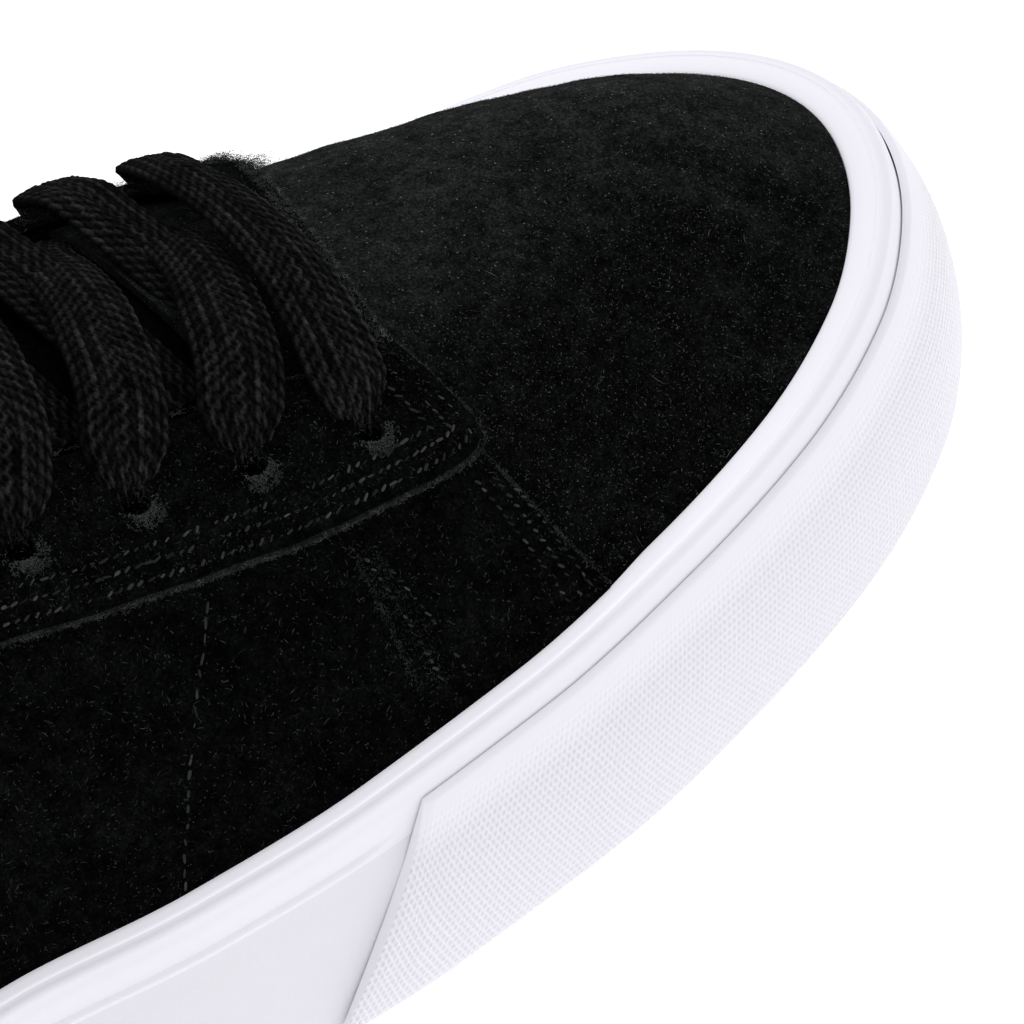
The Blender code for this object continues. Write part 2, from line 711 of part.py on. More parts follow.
def make_eyestay(parts):
    """Overlay round the throat, which carries the eyelets."""
    inner, outer = eyestay_edges()
    across = np.linspace(0, 1, 5)[:, None, None]
    plan = inner + (outer - inner) * across
    base = QUARTER_STEP + SKIN_GAP
    low = over_plan(plan[..., 0], plan[..., 1], np.full(plan.shape[:2], base))
    top = over_plan(plan[..., 0], plan[..., 1], np.full(plan.shape[:2], base + EYESTAY_THICKNESS))
    return two_skins("eyestay", top, low, grid_faces(*plan.shape[:2]), parts, SUEDE)


def punch_eyelets(pieces, cutters):
    """Punches the eyelets through the eyestay and the upper."""
    for side in (-1, 1):
        for k, (angle, share) in enumerate(zip(*eyelets(side))):
            normal = surface_normal(angle, share)
            bpy.ops.mesh.primitive_cylinder_add(vertices=HOLE_SIDES, radius=EYELET_HOLE / 2, depth=HOLE_DEPTH)
            cutter = bpy.context.object
            cutter.name = f"eyelet_cutter_{'inner' if side > 0 else 'outer'}_{k + 1}"
            cutter.location = raised(angle, share, 0.5 * QUARTER_STEP)
            cutter.rotation_mode = "QUATERNION"
            cutter.rotation_quaternion = Vector(normal).to_track_quat("Z", "Y")
            for collection in cutter.users_collection:
                collection.objects.unlink(cutter)
            cutters.objects.link(cutter)
            cutter.hide_render = True
            cutter.display_type = "WIRE"
    for piece in pieces:
        holes = piece.modifiers.new("eyelets", "BOOLEAN")
        holes.operand_type = "COLLECTION"
        holes.collection = cutters


def tongue_height(x, y):
    """Height of the tongue's top face over the last: it swells in the open throat."""
    station = (x + HEEL_SPOT) / LAST_LENGTH
    open_half = 0.5 * THROAT_WIDTH - 2 * SKIN_GAP
    swell = np.clip(1 - ((y - THROAT_SHIFT) / open_half) ** 2, 0, 1)
    swell = swell * (1 - ease(THROAT_FRONT - SWELL_FROM, THROAT_FRONT - SWELL_TO, station))
    return TONGUE_SWELL * swell - WALL - TONGUE_GAP


def tongue_point(x, y, height):
    """A point over the last. Past the throat's back the tongue keeps its section and follows the ridge's slope."""
    back = x_at(THROAT_BACK)
    past = np.minimum(x - back, 0)
    slope = ridge(angle_of(THROAT_BACK, 1))[1]
    point = over_plan(np.maximum(x, back), y, height)
    point[..., 0] += past
    point[..., 2] += past * slope
    return point


def make_tongue(parts):
    """Padded tongue under the throat, tucked under the vamp and standing up past the top eyelets."""
    tip = x_at(THROAT_BACK) - TONGUE_RISE
    lengthwise = np.linspace(x_at(THROAT_FRONT) + TONGUE_TUCK, tip + TONGUE_CORNER, TONGUE_SECTIONS)
    turns = np.linspace(0, 0.5 * pi, 6)[1:-1]
    lengthwise = np.concatenate([lengthwise, tip + TONGUE_CORNER * (1 - np.sin(turns)), [tip]])
    crosswise = np.linspace(-1, 1, 9)
    x, way = np.meshgrid(lengthwise, crosswise, indexing="ij")
    corner = np.clip((tip + TONGUE_CORNER - x) / TONGUE_CORNER, 0, 1)
    past = np.clip((x_at(THROAT_BACK + CORNER_REACH / 2) - x) / TONGUE_RISE, 0, 1)
    half = 0.5 * TONGUE_WIDTH - TONGUE_TAPER * past - TONGUE_CORNER * (1 - np.sqrt(1 - corner**2))
    y = THROAT_SHIFT + half * way
    top = tongue_height(x, y)
    thick = TONGUE_EDGE + (TONGUE_THICKNESS - TONGUE_EDGE) * (1 - np.abs(way) ** 4)
    faces = grid_faces(*x.shape)
    outer = tongue_point(x, y, top)
    inner = tongue_point(x, y, top - thick)
    return two_skins("tongue", outer, inner, faces, parts, TEXTILE)


def strand(start, end, levels):
    """Flat lace from one plan point to another, at heights over the last, as a closed bmesh."""
    way = np.linspace(0, 1, LACE_SECTIONS)
    run = end - start
    cross = np.array([-run[1], run[0]]) / np.linalg.norm(run)
    plan = start + run * way[:, None]
    levels = levels(plan)
    half = LACE_WIDTH / 2
    thick = LACE_THICKNESS / 2
    section = ((-1.0, 0.0), (-0.8, 1.0), (0.8, 1.0), (1.0, 0.0), (0.8, -1.0), (-0.8, -1.0))
    rings = []
    for across, above in section:
        place = plan + cross * across * half
        rings.append(over_plan(place[:, 0], place[:, 1], levels + above * thick))
    rings = np.stack(rings, 1)
    bm = bmesh.new()
    verts = [bm.verts.new(point) for point in rings.reshape(-1, 3)]
    sides = len(section)
    for face in grid_faces(LACE_SECTIONS, sides, closed=True):
        bm.faces.new([verts[n] for n in face])
    bm.faces.new(verts[:sides])
    bm.faces.new(verts[-sides:])
    bmesh.ops.recalc_face_normals(bm, faces=bm.faces)
    return bm


def lace_levels(name):
    """Heights of a strand over the last between the tongue and the eyestay, from the strand's table."""
    high = QUARTER_STEP + SKIN_GAP + EYESTAY_THICKNESS + SKIN_GAP + LACE_THICKNESS / 2

    def levels(plan):
        side = np.sign(plan[-1, 1] - plan[0, 1])
        half = throat_half((plan[:, 0].mean() + HEEL_SPOT) / LAST_LENGTH)
        way = (side * (plan[:, 1] - THROAT_SHIFT) + half) / (2 * half)
        low = tongue_height(plan[:, 0], plan[:, 1]) + SKIN_GAP + LACE_THICKNESS / 2
        return low + (high - low) * smooth(STRANDS, name, way)

    return levels


def make_laces(parts):
    """A straight bar over the front pair, then a crossing between each pair and the next."""
    sides = {}
    for side in (-1, 1):
        sides[side] = last_surface(*eyelets(side))[:, :2]
    inset = EYELET_HOLE / 2
    high = QUARTER_STEP + SKIN_GAP + EYESTAY_THICKNESS + SKIN_GAP + LACE_THICKNESS / 2
    toward = np.array([0, inset])
    bar = strand(sides[-1][0] + toward, sides[1][0] - toward, lambda plan: np.full(len(plan), high))
    finish("lace_bar", bar, parts, LACE)
    for k in range(len(sides[1]) - 1):
        pieces = []
        for name, side in (("upper", -1), ("lower", 1)):
            end = sides[side][k + 1] - side * toward
            start = sides[-side][k]
            out = start + (end - start) * (EYELET_INSET + LACE_INSET) / np.linalg.norm(end - start)
            pieces.append((name, strand(out, end, lace_levels(name))))
        top = finish(f"lace_crossing_{k + 1}", pieces[0][1], parts, LACE)
        low = finish(f"lace_under_{k + 1}", pieces[1][1], parts, LACE)
        join(top, low)


def join(piece, other):
    """Union of two pieces, kept as the first."""
    union = piece.modifiers.new("join", "BOOLEAN")
    union.operation = "UNION"
    union.object = other
    graph = bpy.context.evaluated_depsgraph_get()
    mesh = bpy.data.meshes.new_from_object(piece.evaluated_get(graph))
    piece.modifiers.clear()
    piece.data = mesh
    bpy.data.objects.remove(other)


def main():
    for obj in list(bpy.data.objects):
        bpy.data.objects.remove(obj)
    parts = bpy.data.collections.new("skateboarding_shoe")
    cutters = bpy.data.collections.new("cutters")
    for collection in (parts, cutters):
        bpy.context.scene.collection.children.link(collection)
    cutters.hide_render = True
    make_outsole(parts)
    make_foxing(parts)
    make_toe_bumper(parts)
    make_insole(parts)
    upper = make_upper(parts)
    eyestay = make_eyestay(parts)
    punch_eyelets((upper, eyestay), cutters)
    make_tongue(parts)
    make_laces(parts)


main()
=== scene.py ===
"""Looks of the skateboarding shoe: suede, laces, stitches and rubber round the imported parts.

Metres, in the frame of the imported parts. The form of the shoe, last_surface(), is the same
function as in the parts' source, so that each piece here lies where its solid does.
"""
from math import floor, pi

import bmesh
import bpy
import numpy as np
from mathutils import Matrix, Vector


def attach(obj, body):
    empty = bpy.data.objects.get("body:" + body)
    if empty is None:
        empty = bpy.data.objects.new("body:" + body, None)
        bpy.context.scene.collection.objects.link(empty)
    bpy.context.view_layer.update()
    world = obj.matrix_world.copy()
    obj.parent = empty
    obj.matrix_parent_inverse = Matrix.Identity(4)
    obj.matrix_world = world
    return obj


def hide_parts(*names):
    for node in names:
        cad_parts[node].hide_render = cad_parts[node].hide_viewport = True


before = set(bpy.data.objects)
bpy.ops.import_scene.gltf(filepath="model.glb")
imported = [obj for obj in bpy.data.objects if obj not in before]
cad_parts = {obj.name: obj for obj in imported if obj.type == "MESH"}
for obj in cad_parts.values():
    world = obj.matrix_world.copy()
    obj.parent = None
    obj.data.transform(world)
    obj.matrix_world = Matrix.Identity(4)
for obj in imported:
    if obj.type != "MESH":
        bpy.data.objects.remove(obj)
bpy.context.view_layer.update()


def table(names, rows):
    """Columns of a table by name."""
    return dict(zip(names.split(), np.array(rows, float).T))


# Main form
LAST_LENGTH = 0.288  # heel to toe at the feather line
BALL_WIDTH = 0.0964  # across the feather line at the ball
HEEL_WIDTH = 0.0700  # across the feather line at the heel
INSTEP_HEIGHT = 0.100  # floor to the ridge of the foot at the top eyelets
COLLAR_HEIGHT = 0.084  # floor to the back of the collar
HEEL_SPOT = 0.045  # back of the feather line to the middle of the heel spot

# Sole
SOLE_HEIGHT = 0.0270  # floor to the feather line at the heel
TOE_SPRING = 0.0079  # lift of the tread at the toe
TOE_RISE = 0.0049  # lift of the feather line at the toe
ARCH_LIFT = 0.0012
FOXING_LIFT = 0.0010  # sidewall above the tread
LEDGE_WIDTH = 0.0053  # top face of the sidewall
LEDGE_ROUND = 0.0010  # rounding of the ledge's outer edge
SOLE_ROUND = 0.0012  # rounding of the sidewall's bottom edge
SIDE_SWELL = 0.0004  # of the sidewall half way down
SIDE_REACH = 0.0056  # sidewall outside the feather line
BUMPER_REACH = 0.0091  # toe bumper outside the feather line
BUMPER_EDGE = 0.0007  # thickness of the bumper at its edges
BUMPER_DROP = 0.0029  # feather line down to the bumper's top edge
RIB_DROP = 0.0054  # feather line down to the rib behind the bumper
RIB_SIZE = 0.0006
BED_HEIGHT = 0.0135  # floor to the bed of the outsole at the heel
BED_SLOPE = 0.0030  # drop of the bed from heel to ball

# Upper
WALL = 0.0022
QUARTER_STEP = 0.0010  # the quarter's leather lies this far over the vamp
COLLAR_PADDING = 0.0045
PADDING_DEPTH = 0.034  # down the inside from the collar
THROAT_WIDTH = 0.0475  # at its front
THROAT_TAPER = 0.30  # share of its width lost at the back
THROAT_SHIFT = -0.0023  # middle of the throat, to the outer side
THROAT_CORNER = 0.0065
FRONT_BAND = 0.0045  # eyestay in front of the throat
EYESTAY_WIDTH = 0.0184
EYESTAY_THICKNESS = 0.0014
EYESTAY_CORNER = 0.0055
EYELET_PITCH = 0.0142
EYELET_HOLE = 0.0042
EYELET_INSET = 0.0083  # throat edge to the middle of an eyelet
FIRST_EYELET = 0.0085  # throat front to the first pair
LAST_EYELET = 0.0040  # least distance from the top pair to the collar
EYELET_LEAD = 0.0075  # the inner side's eyelets are this far ahead of the outer side's
INSOLE_THICKNESS = 0.0045
TONGUE_THICKNESS = 0.0050
TONGUE_WIDTH = 0.0600
TONGUE_EDGE = 0.0018  # thickness at its sides
TONGUE_TUCK = 0.0120  # tongue under the vamp
TONGUE_TAPER = 0.0060  # of each side towards its top
TONGUE_CORNER = 0.012  # rounding of its top corners
TONGUE_RISE = 0.0160  # tongue past the throat, measured level
LACE_THICKNESS = 0.0016
LACE_INSET = 0.0020  # from the throat edge to where a strand starts under it

GAP = 0.0003  # between flat or like-shaped faces
SIDE_GAP = 0.0005  # between the sidewall and what stands inside it
SKIN_GAP = 0.0005  # between pieces on the curved upper
TONGUE_GAP = 0.0009  # under the throat's edges
TONGUE_SWELL = 0.0012  # of the tongue in the open throat
FRONT_SLANT = 0.09  # of the eyestay's front edge, forward to the inner side
COLLAR_BLEND = 0.10  # share of a column over which collar and throat run into each other

# Places along the last, as shares of its length
THROAT_FRONT = 0.752
THROAT_BACK = 0.405
QUARTER_FRONT = 0.769
BUMPER_TOP_END = 0.656
BUMPER_LOW_END = 0.585
RIDGE_BACK = 0.10
RIDGE_FRONT = 0.85
RIDGE_EASE = 0.06
RISE_FROM = 0.62
SPRING_FROM = 0.68
ARCH_FROM = 0.42
ARCH_TO = 0.58
BED_FROM = 0.20
BED_TO = 0.70
SWELL_FROM = 0.05  # behind the throat's front, where the tongue starts to sink under the vamp
SWELL_TO = 0.01
PADDING_FADE = 0.10  # behind the throat's back, where the collar's padding ends
EYESTAY_START = 0.008  # in front of the throat's back
CORNER_REACH = 0.12  # behind the throat's back, where its edges still meet the collar

# Feather line: half widths to each side as shares of the named width
PLAN = table("at lateral medial width", (
    (0.00, 0.000, 0.000, HEEL_WIDTH),
    (0.04, 0.286, 0.286, HEEL_WIDTH),
    (0.12, 0.450, 0.450, HEEL_WIDTH),
    (0.25, 0.507, 0.493, HEEL_WIDTH),
    (0.38, 0.529, 0.471, HEEL_WIDTH),
    (0.48, 0.414, 0.365, BALL_WIDTH),
    (0.56, 0.477, 0.412, BALL_WIDTH),
    (0.64, 0.508, 0.454, BALL_WIDTH),
    (0.72, 0.511, 0.487, BALL_WIDTH),
    (0.80, 0.484, 0.489, BALL_WIDTH),
    (0.87, 0.437, 0.451, BALL_WIDTH),
    (0.93, 0.351, 0.369, BALL_WIDTH),
    (0.97, 0.237, 0.249, BALL_WIDTH),
    (1.00, 0.000, 0.000, BALL_WIDTH),
))

# Ridge of the foot: height as a share of INSTEP_HEIGHT, shift to the inner side as a share of BALL_WIDTH
RIDGE = table("at height inward", (
    (0.00, 1.400, 0.000),
    (0.20, 1.400, 0.000),
    (0.30, 1.320, 0.010),
    (0.36, 1.180, 0.030),
    (0.42, 1.020, 0.045),
    (0.50, 0.900, 0.050),
    (0.60, 0.797, 0.051),
    (0.70, 0.700, 0.054),
    (0.78, 0.597, 0.050),
    (0.86, 0.534, 0.042),
    (0.92, 0.464, 0.030),
))

# Columns of the upper: angle of the wall at the feather line in degrees, its straightness there
# and at the ridge as shares of the column's length and of its level reach
WALLS = table("at lean rise crown", (
    (0.00, 97.0, 0.33, 0.80),
    (0.12, 96.0, 0.33, 0.75),
    (0.30, 93.0, 0.33, 0.70),
    (0.45, 90.0, 0.36, 0.65),
    (0.60, 85.0, 0.39, 0.57),
    (0.75, 68.0, 0.38, 0.54),
    (0.90, 30.0, 0.32, 0.52),
    (1.00, 47.0, 0.44, 0.38),
))

# Edge of the collar: height as a share of COLLAR_HEIGHT
COLLAR = table("at height", (
    (0.00, 1.00),
    (0.07, 0.99),
    (0.18, 0.86),
    (0.27, 0.80),
    (0.32, 0.84),
    (0.36, 0.93),
    (0.40, 1.07),
    (0.44, 1.24),
    (0.50, 1.50),
))


EYESTAY_SECTIONS = 13  # along each side


def unit(vectors):
    return vectors / np.maximum(np.linalg.norm(vectors, axis=-1, keepdims=True), 1e-12)


def smooth(rows, name, where, scale=1.0):
    """Monotone cubic through one column of a table, times scale."""
    return cubic(rows["at"], rows[name] * scale, where)


def cubic(at, value, where):
    """Monotone cubic through points."""
    where = np.clip(np.asarray(where, float), at[0], at[-1])
    step = np.diff(at)
    slope = np.diff(value) / step
    before, after = slope[:-1], slope[1:]
    inner = np.zeros(len(before))
    same = before * after > 0
    near = (2 * step[1:] + step[:-1])[same]
    far = (step[1:] + 2 * step[:-1])[same]
    inner[same] = (near + far) / (near / before[same] + far / after[same])
    tangent = np.concatenate([slope[:1], inner, slope[-1:]])
    i = np.clip(np.searchsorted(at, where, side="right") - 1, 0, len(step) - 1)
    u = (where - at[i]) / step[i]
    ends = (1 + 2 * u) * (1 - u) ** 2 * value[i] + u * u * (3 - 2 * u) * value[i + 1]
    turns = u * (1 - u) ** 2 * tangent[i] - u * u * (1 - u) * tangent[i + 1]
    return ends + step[i] * turns


def ease(low, high, where):
    """0 below low, 1 above high, smooth between."""
    u = np.clip((where - low) / (high - low), 0, 1)
    return u * u * (3 - 2 * u)


def half_width(station, side):
    lateral, medial = (
        cubic(PLAN["at"], (PLAN[name] * PLAN["width"]) ** 2, station) for name in ("lateral", "medial")
    )
    return np.sqrt(np.maximum(np.where(side < 0, lateral, medial), 0))


def lift(station, start, amount):
    """Rise towards the toe from a station on."""
    return amount * np.maximum(0, (station - start) / (1 - start)) ** 2


def ground(station):
    """Height of the tread: flat at heel and forefoot, up at the arch and the toe."""
    way = np.clip((station - ARCH_FROM) / (ARCH_TO - ARCH_FROM), 0, 1)
    return lift(station, SPRING_FROM, TOE_SPRING) + ARCH_LIFT * np.sin(pi * way) ** 2


def bed(station):
    """Height of the outsole's top face."""
    return BED_HEIGHT - BED_SLOPE * ease(BED_FROM, BED_TO, station) + lift(station, SPRING_FROM, TOE_SPRING)


def feather_height(station):
    return SOLE_HEIGHT + lift(station, RISE_FROM, TOE_RISE)


def x_at(station):
    return station * LAST_LENGTH - HEEL_SPOT


def station_at(x):
    return (x + HEEL_SPOT) / LAST_LENGTH


def station_of(angle):
    """Share of the last's length at an angle round its plan: 0 is the toe, half a turn the heel."""
    return 0.5 * (1 + np.cos(angle))


def side_of(angle):
    """-1 on the outer side, 1 on the inner."""
    return np.where(np.sin(angle) < 0, -1.0, 1.0)


def angle_of(station, side):
    return side * np.arccos(np.clip(2 * np.asarray(station, float) - 1, -1, 1))


def feather(angle):
    """Feather line. Angles over 0 are the inner side."""
    station = station_of(angle)
    side = side_of(angle)
    return np.stack([x_at(station), side * half_width(station, side), feather_height(station)], -1)


def outward(angle):
    """Level unit normal of the feather line."""
    along = feather(angle + SMALL) - feather(angle - SMALL)
    return unit(np.stack([along[..., 1], -along[..., 0], 0 * along[..., 0]], -1))


def ridge_station(station):
    """The ridge stops short of heel and toe, where the columns of the upper fan round its ends."""
    high = RIDGE_FRONT - RIDGE_EASE
    low = RIDGE_BACK + RIDGE_EASE
    up = RIDGE_FRONT - RIDGE_EASE * np.exp(-np.maximum(station - high, 0) / RIDGE_EASE)
    down = RIDGE_BACK + RIDGE_EASE * np.exp(-np.maximum(low - station, 0) / RIDGE_EASE)
    return np.where(station > high, up, np.where(station < low, down, station))


def ridge(angle):
    """The ridge of the foot and its slope along the foot."""
    at = ridge_station(station_of(angle))
    height, ahead, behind = (
        smooth(RIDGE, "height", where, INSTEP_HEIGHT) for where in (at, at + SMALL, at - SMALL)
    )
    point = np.stack([x_at(at), smooth(RIDGE, "inward", at, BALL_WIDTH), height], -1)
    return point, (ahead - behind) / (2 * SMALL * LAST_LENGTH)


def last_surface(angle, up):
    """Outer face of the vamp: up is 0 at the feather line, 1 at the ridge."""
    angle, up = np.broadcast_arrays(np.asarray(angle, float), np.asarray(up, float))
    station = station_of(angle)
    foot = feather(angle)
    top, slope = ridge(angle)
    reach = foot - top
    length = np.linalg.norm(reach, axis=-1, keepdims=True)
    reach[..., 2] = slope * reach[..., 0]
    lean = np.radians(smooth(WALLS, "lean", station))[..., None]
    rise = smooth(WALLS, "rise", station)[..., None]
    crown = smooth(WALLS, "crown", station)[..., None]
    start = np.sin(lean) * np.array([0, 0, 1.0]) - np.cos(lean) * outward(angle)
    low = foot + length * rise * start
    high = top + crown * reach
    u = up[..., None]
    v = 1 - u
    return v**3 * foot + 3 * v * v * u * low + 3 * v * u * u * high + u**3 * top


def surface_normal(angle, up):
    inside = np.clip(up, SMALL, 1 - SMALL)
    across = last_surface(angle, inside + SMALL) - last_surface(angle, inside - SMALL)
    along = last_surface(angle + SMALL, inside) - last_surface(angle - SMALL, inside)
    return unit(np.cross(along, across))


def raised(angle, up, height):
    """A point at a height over the last's surface."""
    return last_surface(angle, up) + surface_normal(angle, up) * np.asarray(height, float)[..., None]


def on_plan(x, y):
    """Place on the last's surface over a point of the plan, as an angle and a share up."""
    x = np.asarray(x, float)
    y = np.asarray(y, float)
    station = station_at(x)
    middle = smooth(RIDGE, "inward", station, BALL_WIDTH)
    side = np.where(y < middle, -1.0, 1.0)
    angle = angle_of(station, side)
    up = np.clip(1 - np.abs(y - middle) / half_width(station, side), 0.02, 0.98)
    small = 1e-4
    for _ in range(12):
        here = last_surface(angle, up)
        by_angle = (last_surface(angle + small, up) - here) / small
        by_up = (last_surface(angle, up + small) - here) / small
        miss_x = x - here[..., 0]
        miss_y = y - here[..., 1]
        whole = by_angle[..., 0] * by_up[..., 1] - by_up[..., 0] * by_angle[..., 1]
        angle = angle + (miss_x * by_up[..., 1] - miss_y * by_up[..., 0]) / whole
        up = np.clip(up + (miss_y * by_angle[..., 0] - miss_x * by_angle[..., 1]) / whole, 0, 1)
    return angle, up


def over_plan(x, y, height):
    """A point at a height over the last's surface, from a point of the plan."""
    return raised(*on_plan(x, y), height)


def throat_half(station):
    """Half width of the throat: it narrows to the back and is rounded off at its front."""
    back = (THROAT_FRONT - station) / (THROAT_FRONT - THROAT_BACK)
    corner = THROAT_CORNER / LAST_LENGTH
    past = np.clip((station - (THROAT_FRONT - corner)) / corner, 0, 1)
    return THROAT_WIDTH / 2 * (1 - THROAT_TAPER * back) - THROAT_CORNER * (1 - np.sqrt(1 - past**2))


def share_where(angle, reached):
    """Share up each column at which reached(point) first holds, by halving."""
    low = np.zeros_like(angle)
    high = np.ones_like(angle)
    for _ in range(30):
        middle = 0.5 * (low + high)
        there = reached(last_surface(angle, middle))
        high = np.where(there, middle, high)
        low = np.where(there, low, middle)
    return high


def rim_share(angle):
    """Share up each column at which the opening starts, by the collar's height or the throat's width."""
    side = side_of(angle)
    station = np.minimum(station_of(angle), THROAT_FRONT)
    angle = angle_of(station, side)
    height = smooth(COLLAR, "height", station, COLLAR_HEIGHT)
    collar = share_where(angle, lambda point: point[..., 2] >= height)
    half = throat_half(station)
    throat = share_where(angle, lambda point: np.abs(point[..., 1] - THROAT_SHIFT) <= half)
    throat = np.where(station < THROAT_BACK - CORNER_REACH, 1.0, throat)
    blend = np.clip(0.5 + 0.5 * (throat - collar) / COLLAR_BLEND, 0, 1)
    return throat + (collar - throat) * blend - COLLAR_BLEND * blend * (1 - blend)


def share_below(angle, start, distance):
    """Share up each column at a distance down the surface from a share."""
    steps = np.linspace(0, 1, 60)
    shares = start[..., None] * (1 - steps)
    points = last_surface(angle[..., None], shares)
    run = np.linalg.norm(np.diff(points, axis=-2), axis=-1)
    length = np.concatenate([np.zeros(run.shape[:-1] + (1,)), np.cumsum(run, axis=-1)], -1)
    return np.array([np.interp(distance, row, share) for row, share in zip(length, shares)])


def padding(station, way):
    """Thickness of the collar's padding inside the wall, at a share of the way up to the opening."""
    rear = 1 - ease(THROAT_BACK - PADDING_FADE, THROAT_BACK - 0.4 * PADDING_FADE, station)
    depth = PADDING_DEPTH / (COLLAR_HEIGHT - SOLE_HEIGHT)
    return COLLAR_PADDING * rear * ease(1 - depth, 1 - 0.4 * depth, way)


def eyelets(side):
    """Places of one side's eyelets on the last, from the front, as angles and shares up."""
    length = (THROAT_FRONT - THROAT_BACK) * LAST_LENGTH - FIRST_EYELET - LAST_EYELET
    count = floor(length / EYELET_PITCH) + 1
    lead = EYELET_LEAD if side > 0 else 0
    stations = THROAT_FRONT - (FIRST_EYELET - lead + EYELET_PITCH * np.arange(count)) / LAST_LENGTH
    angle = angle_of(stations, side)
    return angle, share_below(angle, rim_share(angle), EYELET_INSET)


def eyestay_edges():
    """Plan of the eyestay's inner and outer edge, from the outer side's top round the throat's front."""
    last_station = THROAT_FRONT - THROAT_CORNER / LAST_LENGTH
    stations = np.linspace(THROAT_BACK + EYESTAY_START, last_station, EYESTAY_SECTIONS)
    quarter = np.linspace(0, 0.5 * pi, 5)
    sides = []
    for side in (-1, 1):
        angle = angle_of(stations, side)
        rim = rim_share(angle)
        low = last_surface(angle, share_below(angle, rim, EYESTAY_WIDTH))
        stretch = FRONT_BAND + THROAT_CORNER - EYESTAY_CORNER + FRONT_SLANT * low[-1, 1]
        low[:, 0] += stretch * np.linspace(0, 1, len(stations)) ** 4
        turn = np.stack([np.sin(quarter), side * np.cos(quarter)], -1)
        pair = []
        for line, corner in ((last_surface(angle, rim), THROAT_CORNER), (low, EYESTAY_CORNER)):
            line = line[:, :2]
            middle = line[-1] - np.array([0, side * corner])
            pair.append(np.concatenate([line, (middle + corner * turn)[1:]]))
        sides.append(pair)
    paths = []
    for near, far in zip(*sides):
        across = np.linspace(0, 1, 8)[1:-1, None]
        paths.append(np.concatenate([near, near[-1] + (far[-1] - near[-1]) * across, far[::-1]]))
    return paths


def tongue_height(x, y):
    """Height of the tongue's top face over the last: it swells in the open throat."""
    station = station_at(x)
    open_half = 0.5 * THROAT_WIDTH - 2 * SKIN_GAP
    swell = np.clip(1 - ((y - THROAT_SHIFT) / open_half) ** 2, 0, 1)
    swell = swell * (1 - ease(THROAT_FRONT - SWELL_FROM, THROAT_FRONT - SWELL_TO, station))
    return TONGUE_SWELL * swell - WALL - TONGUE_GAP


def tongue_point(x, y, height):
    """A point over the last. Past the throat's back the tongue follows the ridge's slope."""
    back = x_at(THROAT_BACK)
    past = np.minimum(x - back, 0)
    slope = ridge(angle_of(THROAT_BACK, 1))[1]
    point = over_plan(np.maximum(x, back), y, height)
    point[..., 0] += past
    point[..., 2] += past * slope
    return point


# Sizes of the looks
EYESTAY_TOP = QUARTER_STEP + SKIN_GAP + EYESTAY_THICKNESS
SMALL = 1e-3  # step over which slopes of the form are taken
HEM = 0.004  # how far the upper goes on under the feather line, inside the sidewall
VAMP_INSIDE = 0.0012  # of the vamp's inner face under its outer one
NARROW_FRONT = (-0.0245, 0.021)  # the eyestay's front between these has only one row of stitches
STITCH = (0.00128, 0.00102, 0.00018)  # pitch, length and radius
FINE_STITCH = (0.00128, 0.9 * 0.00102, 0.9 * 0.00018)
SEAM_STITCH = (0.0020, 0.00135, 0.00017)
STITCH_SLANT = 0.50  # radians, of a stitch to its row
COLLAR_ROWS = (0.0060, 0.0082)  # stitch rows down from the collar's padding
HEEL_ROWS = (-0.0017, 0.0017)  # stitch rows beside the seam at the back
EYELET_SIDES = 20
EYELET_FIBRES = 520  # drawn at each eyelet, before the patches are taken out
ROWS_INSIDE = (0.0021, 0.0041, 0.0061)  # stitch rows from the eyestay's edge
BRAID_COLUMNS = 11
BRAID_PITCH = 0.00200
BRAID_RELIEF = 0.00046
LACE_SPREAD = 0.0104  # width of a lace as it lies
KNURL_PITCH = 0.00165

# Colours of the looks
TINT = (0.97, 1.04, 1.01)  # of the suede's greys
WHITE = (0.815, 0.805, 0.855)
LIGHT = (0.905, 0.888, 0.950)
# Painted light and shade on the vamp: a factor on its colour by how far its surface faces the inner side,
# lightest where it faces the back light, darkest on the outer side
SLOPE_LIGHT = (
    (0.08, 0.8), (0.19, 0.95), (0.24, 1.25), (0.275, 1.7), (0.30, 2.3), (0.33, 3.0), (0.37, 3.3),
    (0.42, 3.5), (0.46, 4.2), (0.52, 4.5), (0.60, 5.0), (0.85, 4.8),
)
# Share of the eyestay's thickness lost towards its edges, by the way across it
EYESTAY_DROP = (
    (0, 0.012, 0.03, 0.06, 0.93, 0.955, 0.972, 0.986, 1), (1, 0.45, 0.12, 0, 0, 0.08, 0.30, 0.62, 1),
)

# Outline of the eyestay on the outer side, in millimetres on the plan
OUTER_EDGE = (
    (94.0, -30.3), (103.0, -32.2), (112.3, -33.9), (123.5, -36.2), (135.2, -37.9), (147.7, -38.7),
    (154.8, -38.7), (163.9, -38.4), (167.4, -38.1), (171.2, -37.5), (173.1, -36.8), (174.8, -35.6),
    (175.3, -34.4), (175.1, -32.8), (174.6, -30.3), (174.0, -27.3), (173.2, -24.2),
)
FRONT_EDGE = (
    (172.6, -23.6), (173.6, -18.7), (175.0, -12.8), (176.5, -5.6), (178.0, 3.2), (179.6, 11.0),
    (180.8, 17.0), (181.0, 22.5),
)
# Front edge of the quarters, across and ahead, under the eyestay's front and down to the sole
QUARTER_EDGE = (
    (-52.0, 178.6), (-47.4, 177.6), (-44.1, 175.9), (-40.4, 174.8), (-36.7, 173.9), (-33.0, 172.6),
    (-24.0, 171.9), (-12.0, 173.0), (0.0, 175.0), (13.0, 177.6), (25.0, 178.6), (36.0, 178.8), (52.0, 180.5),
)
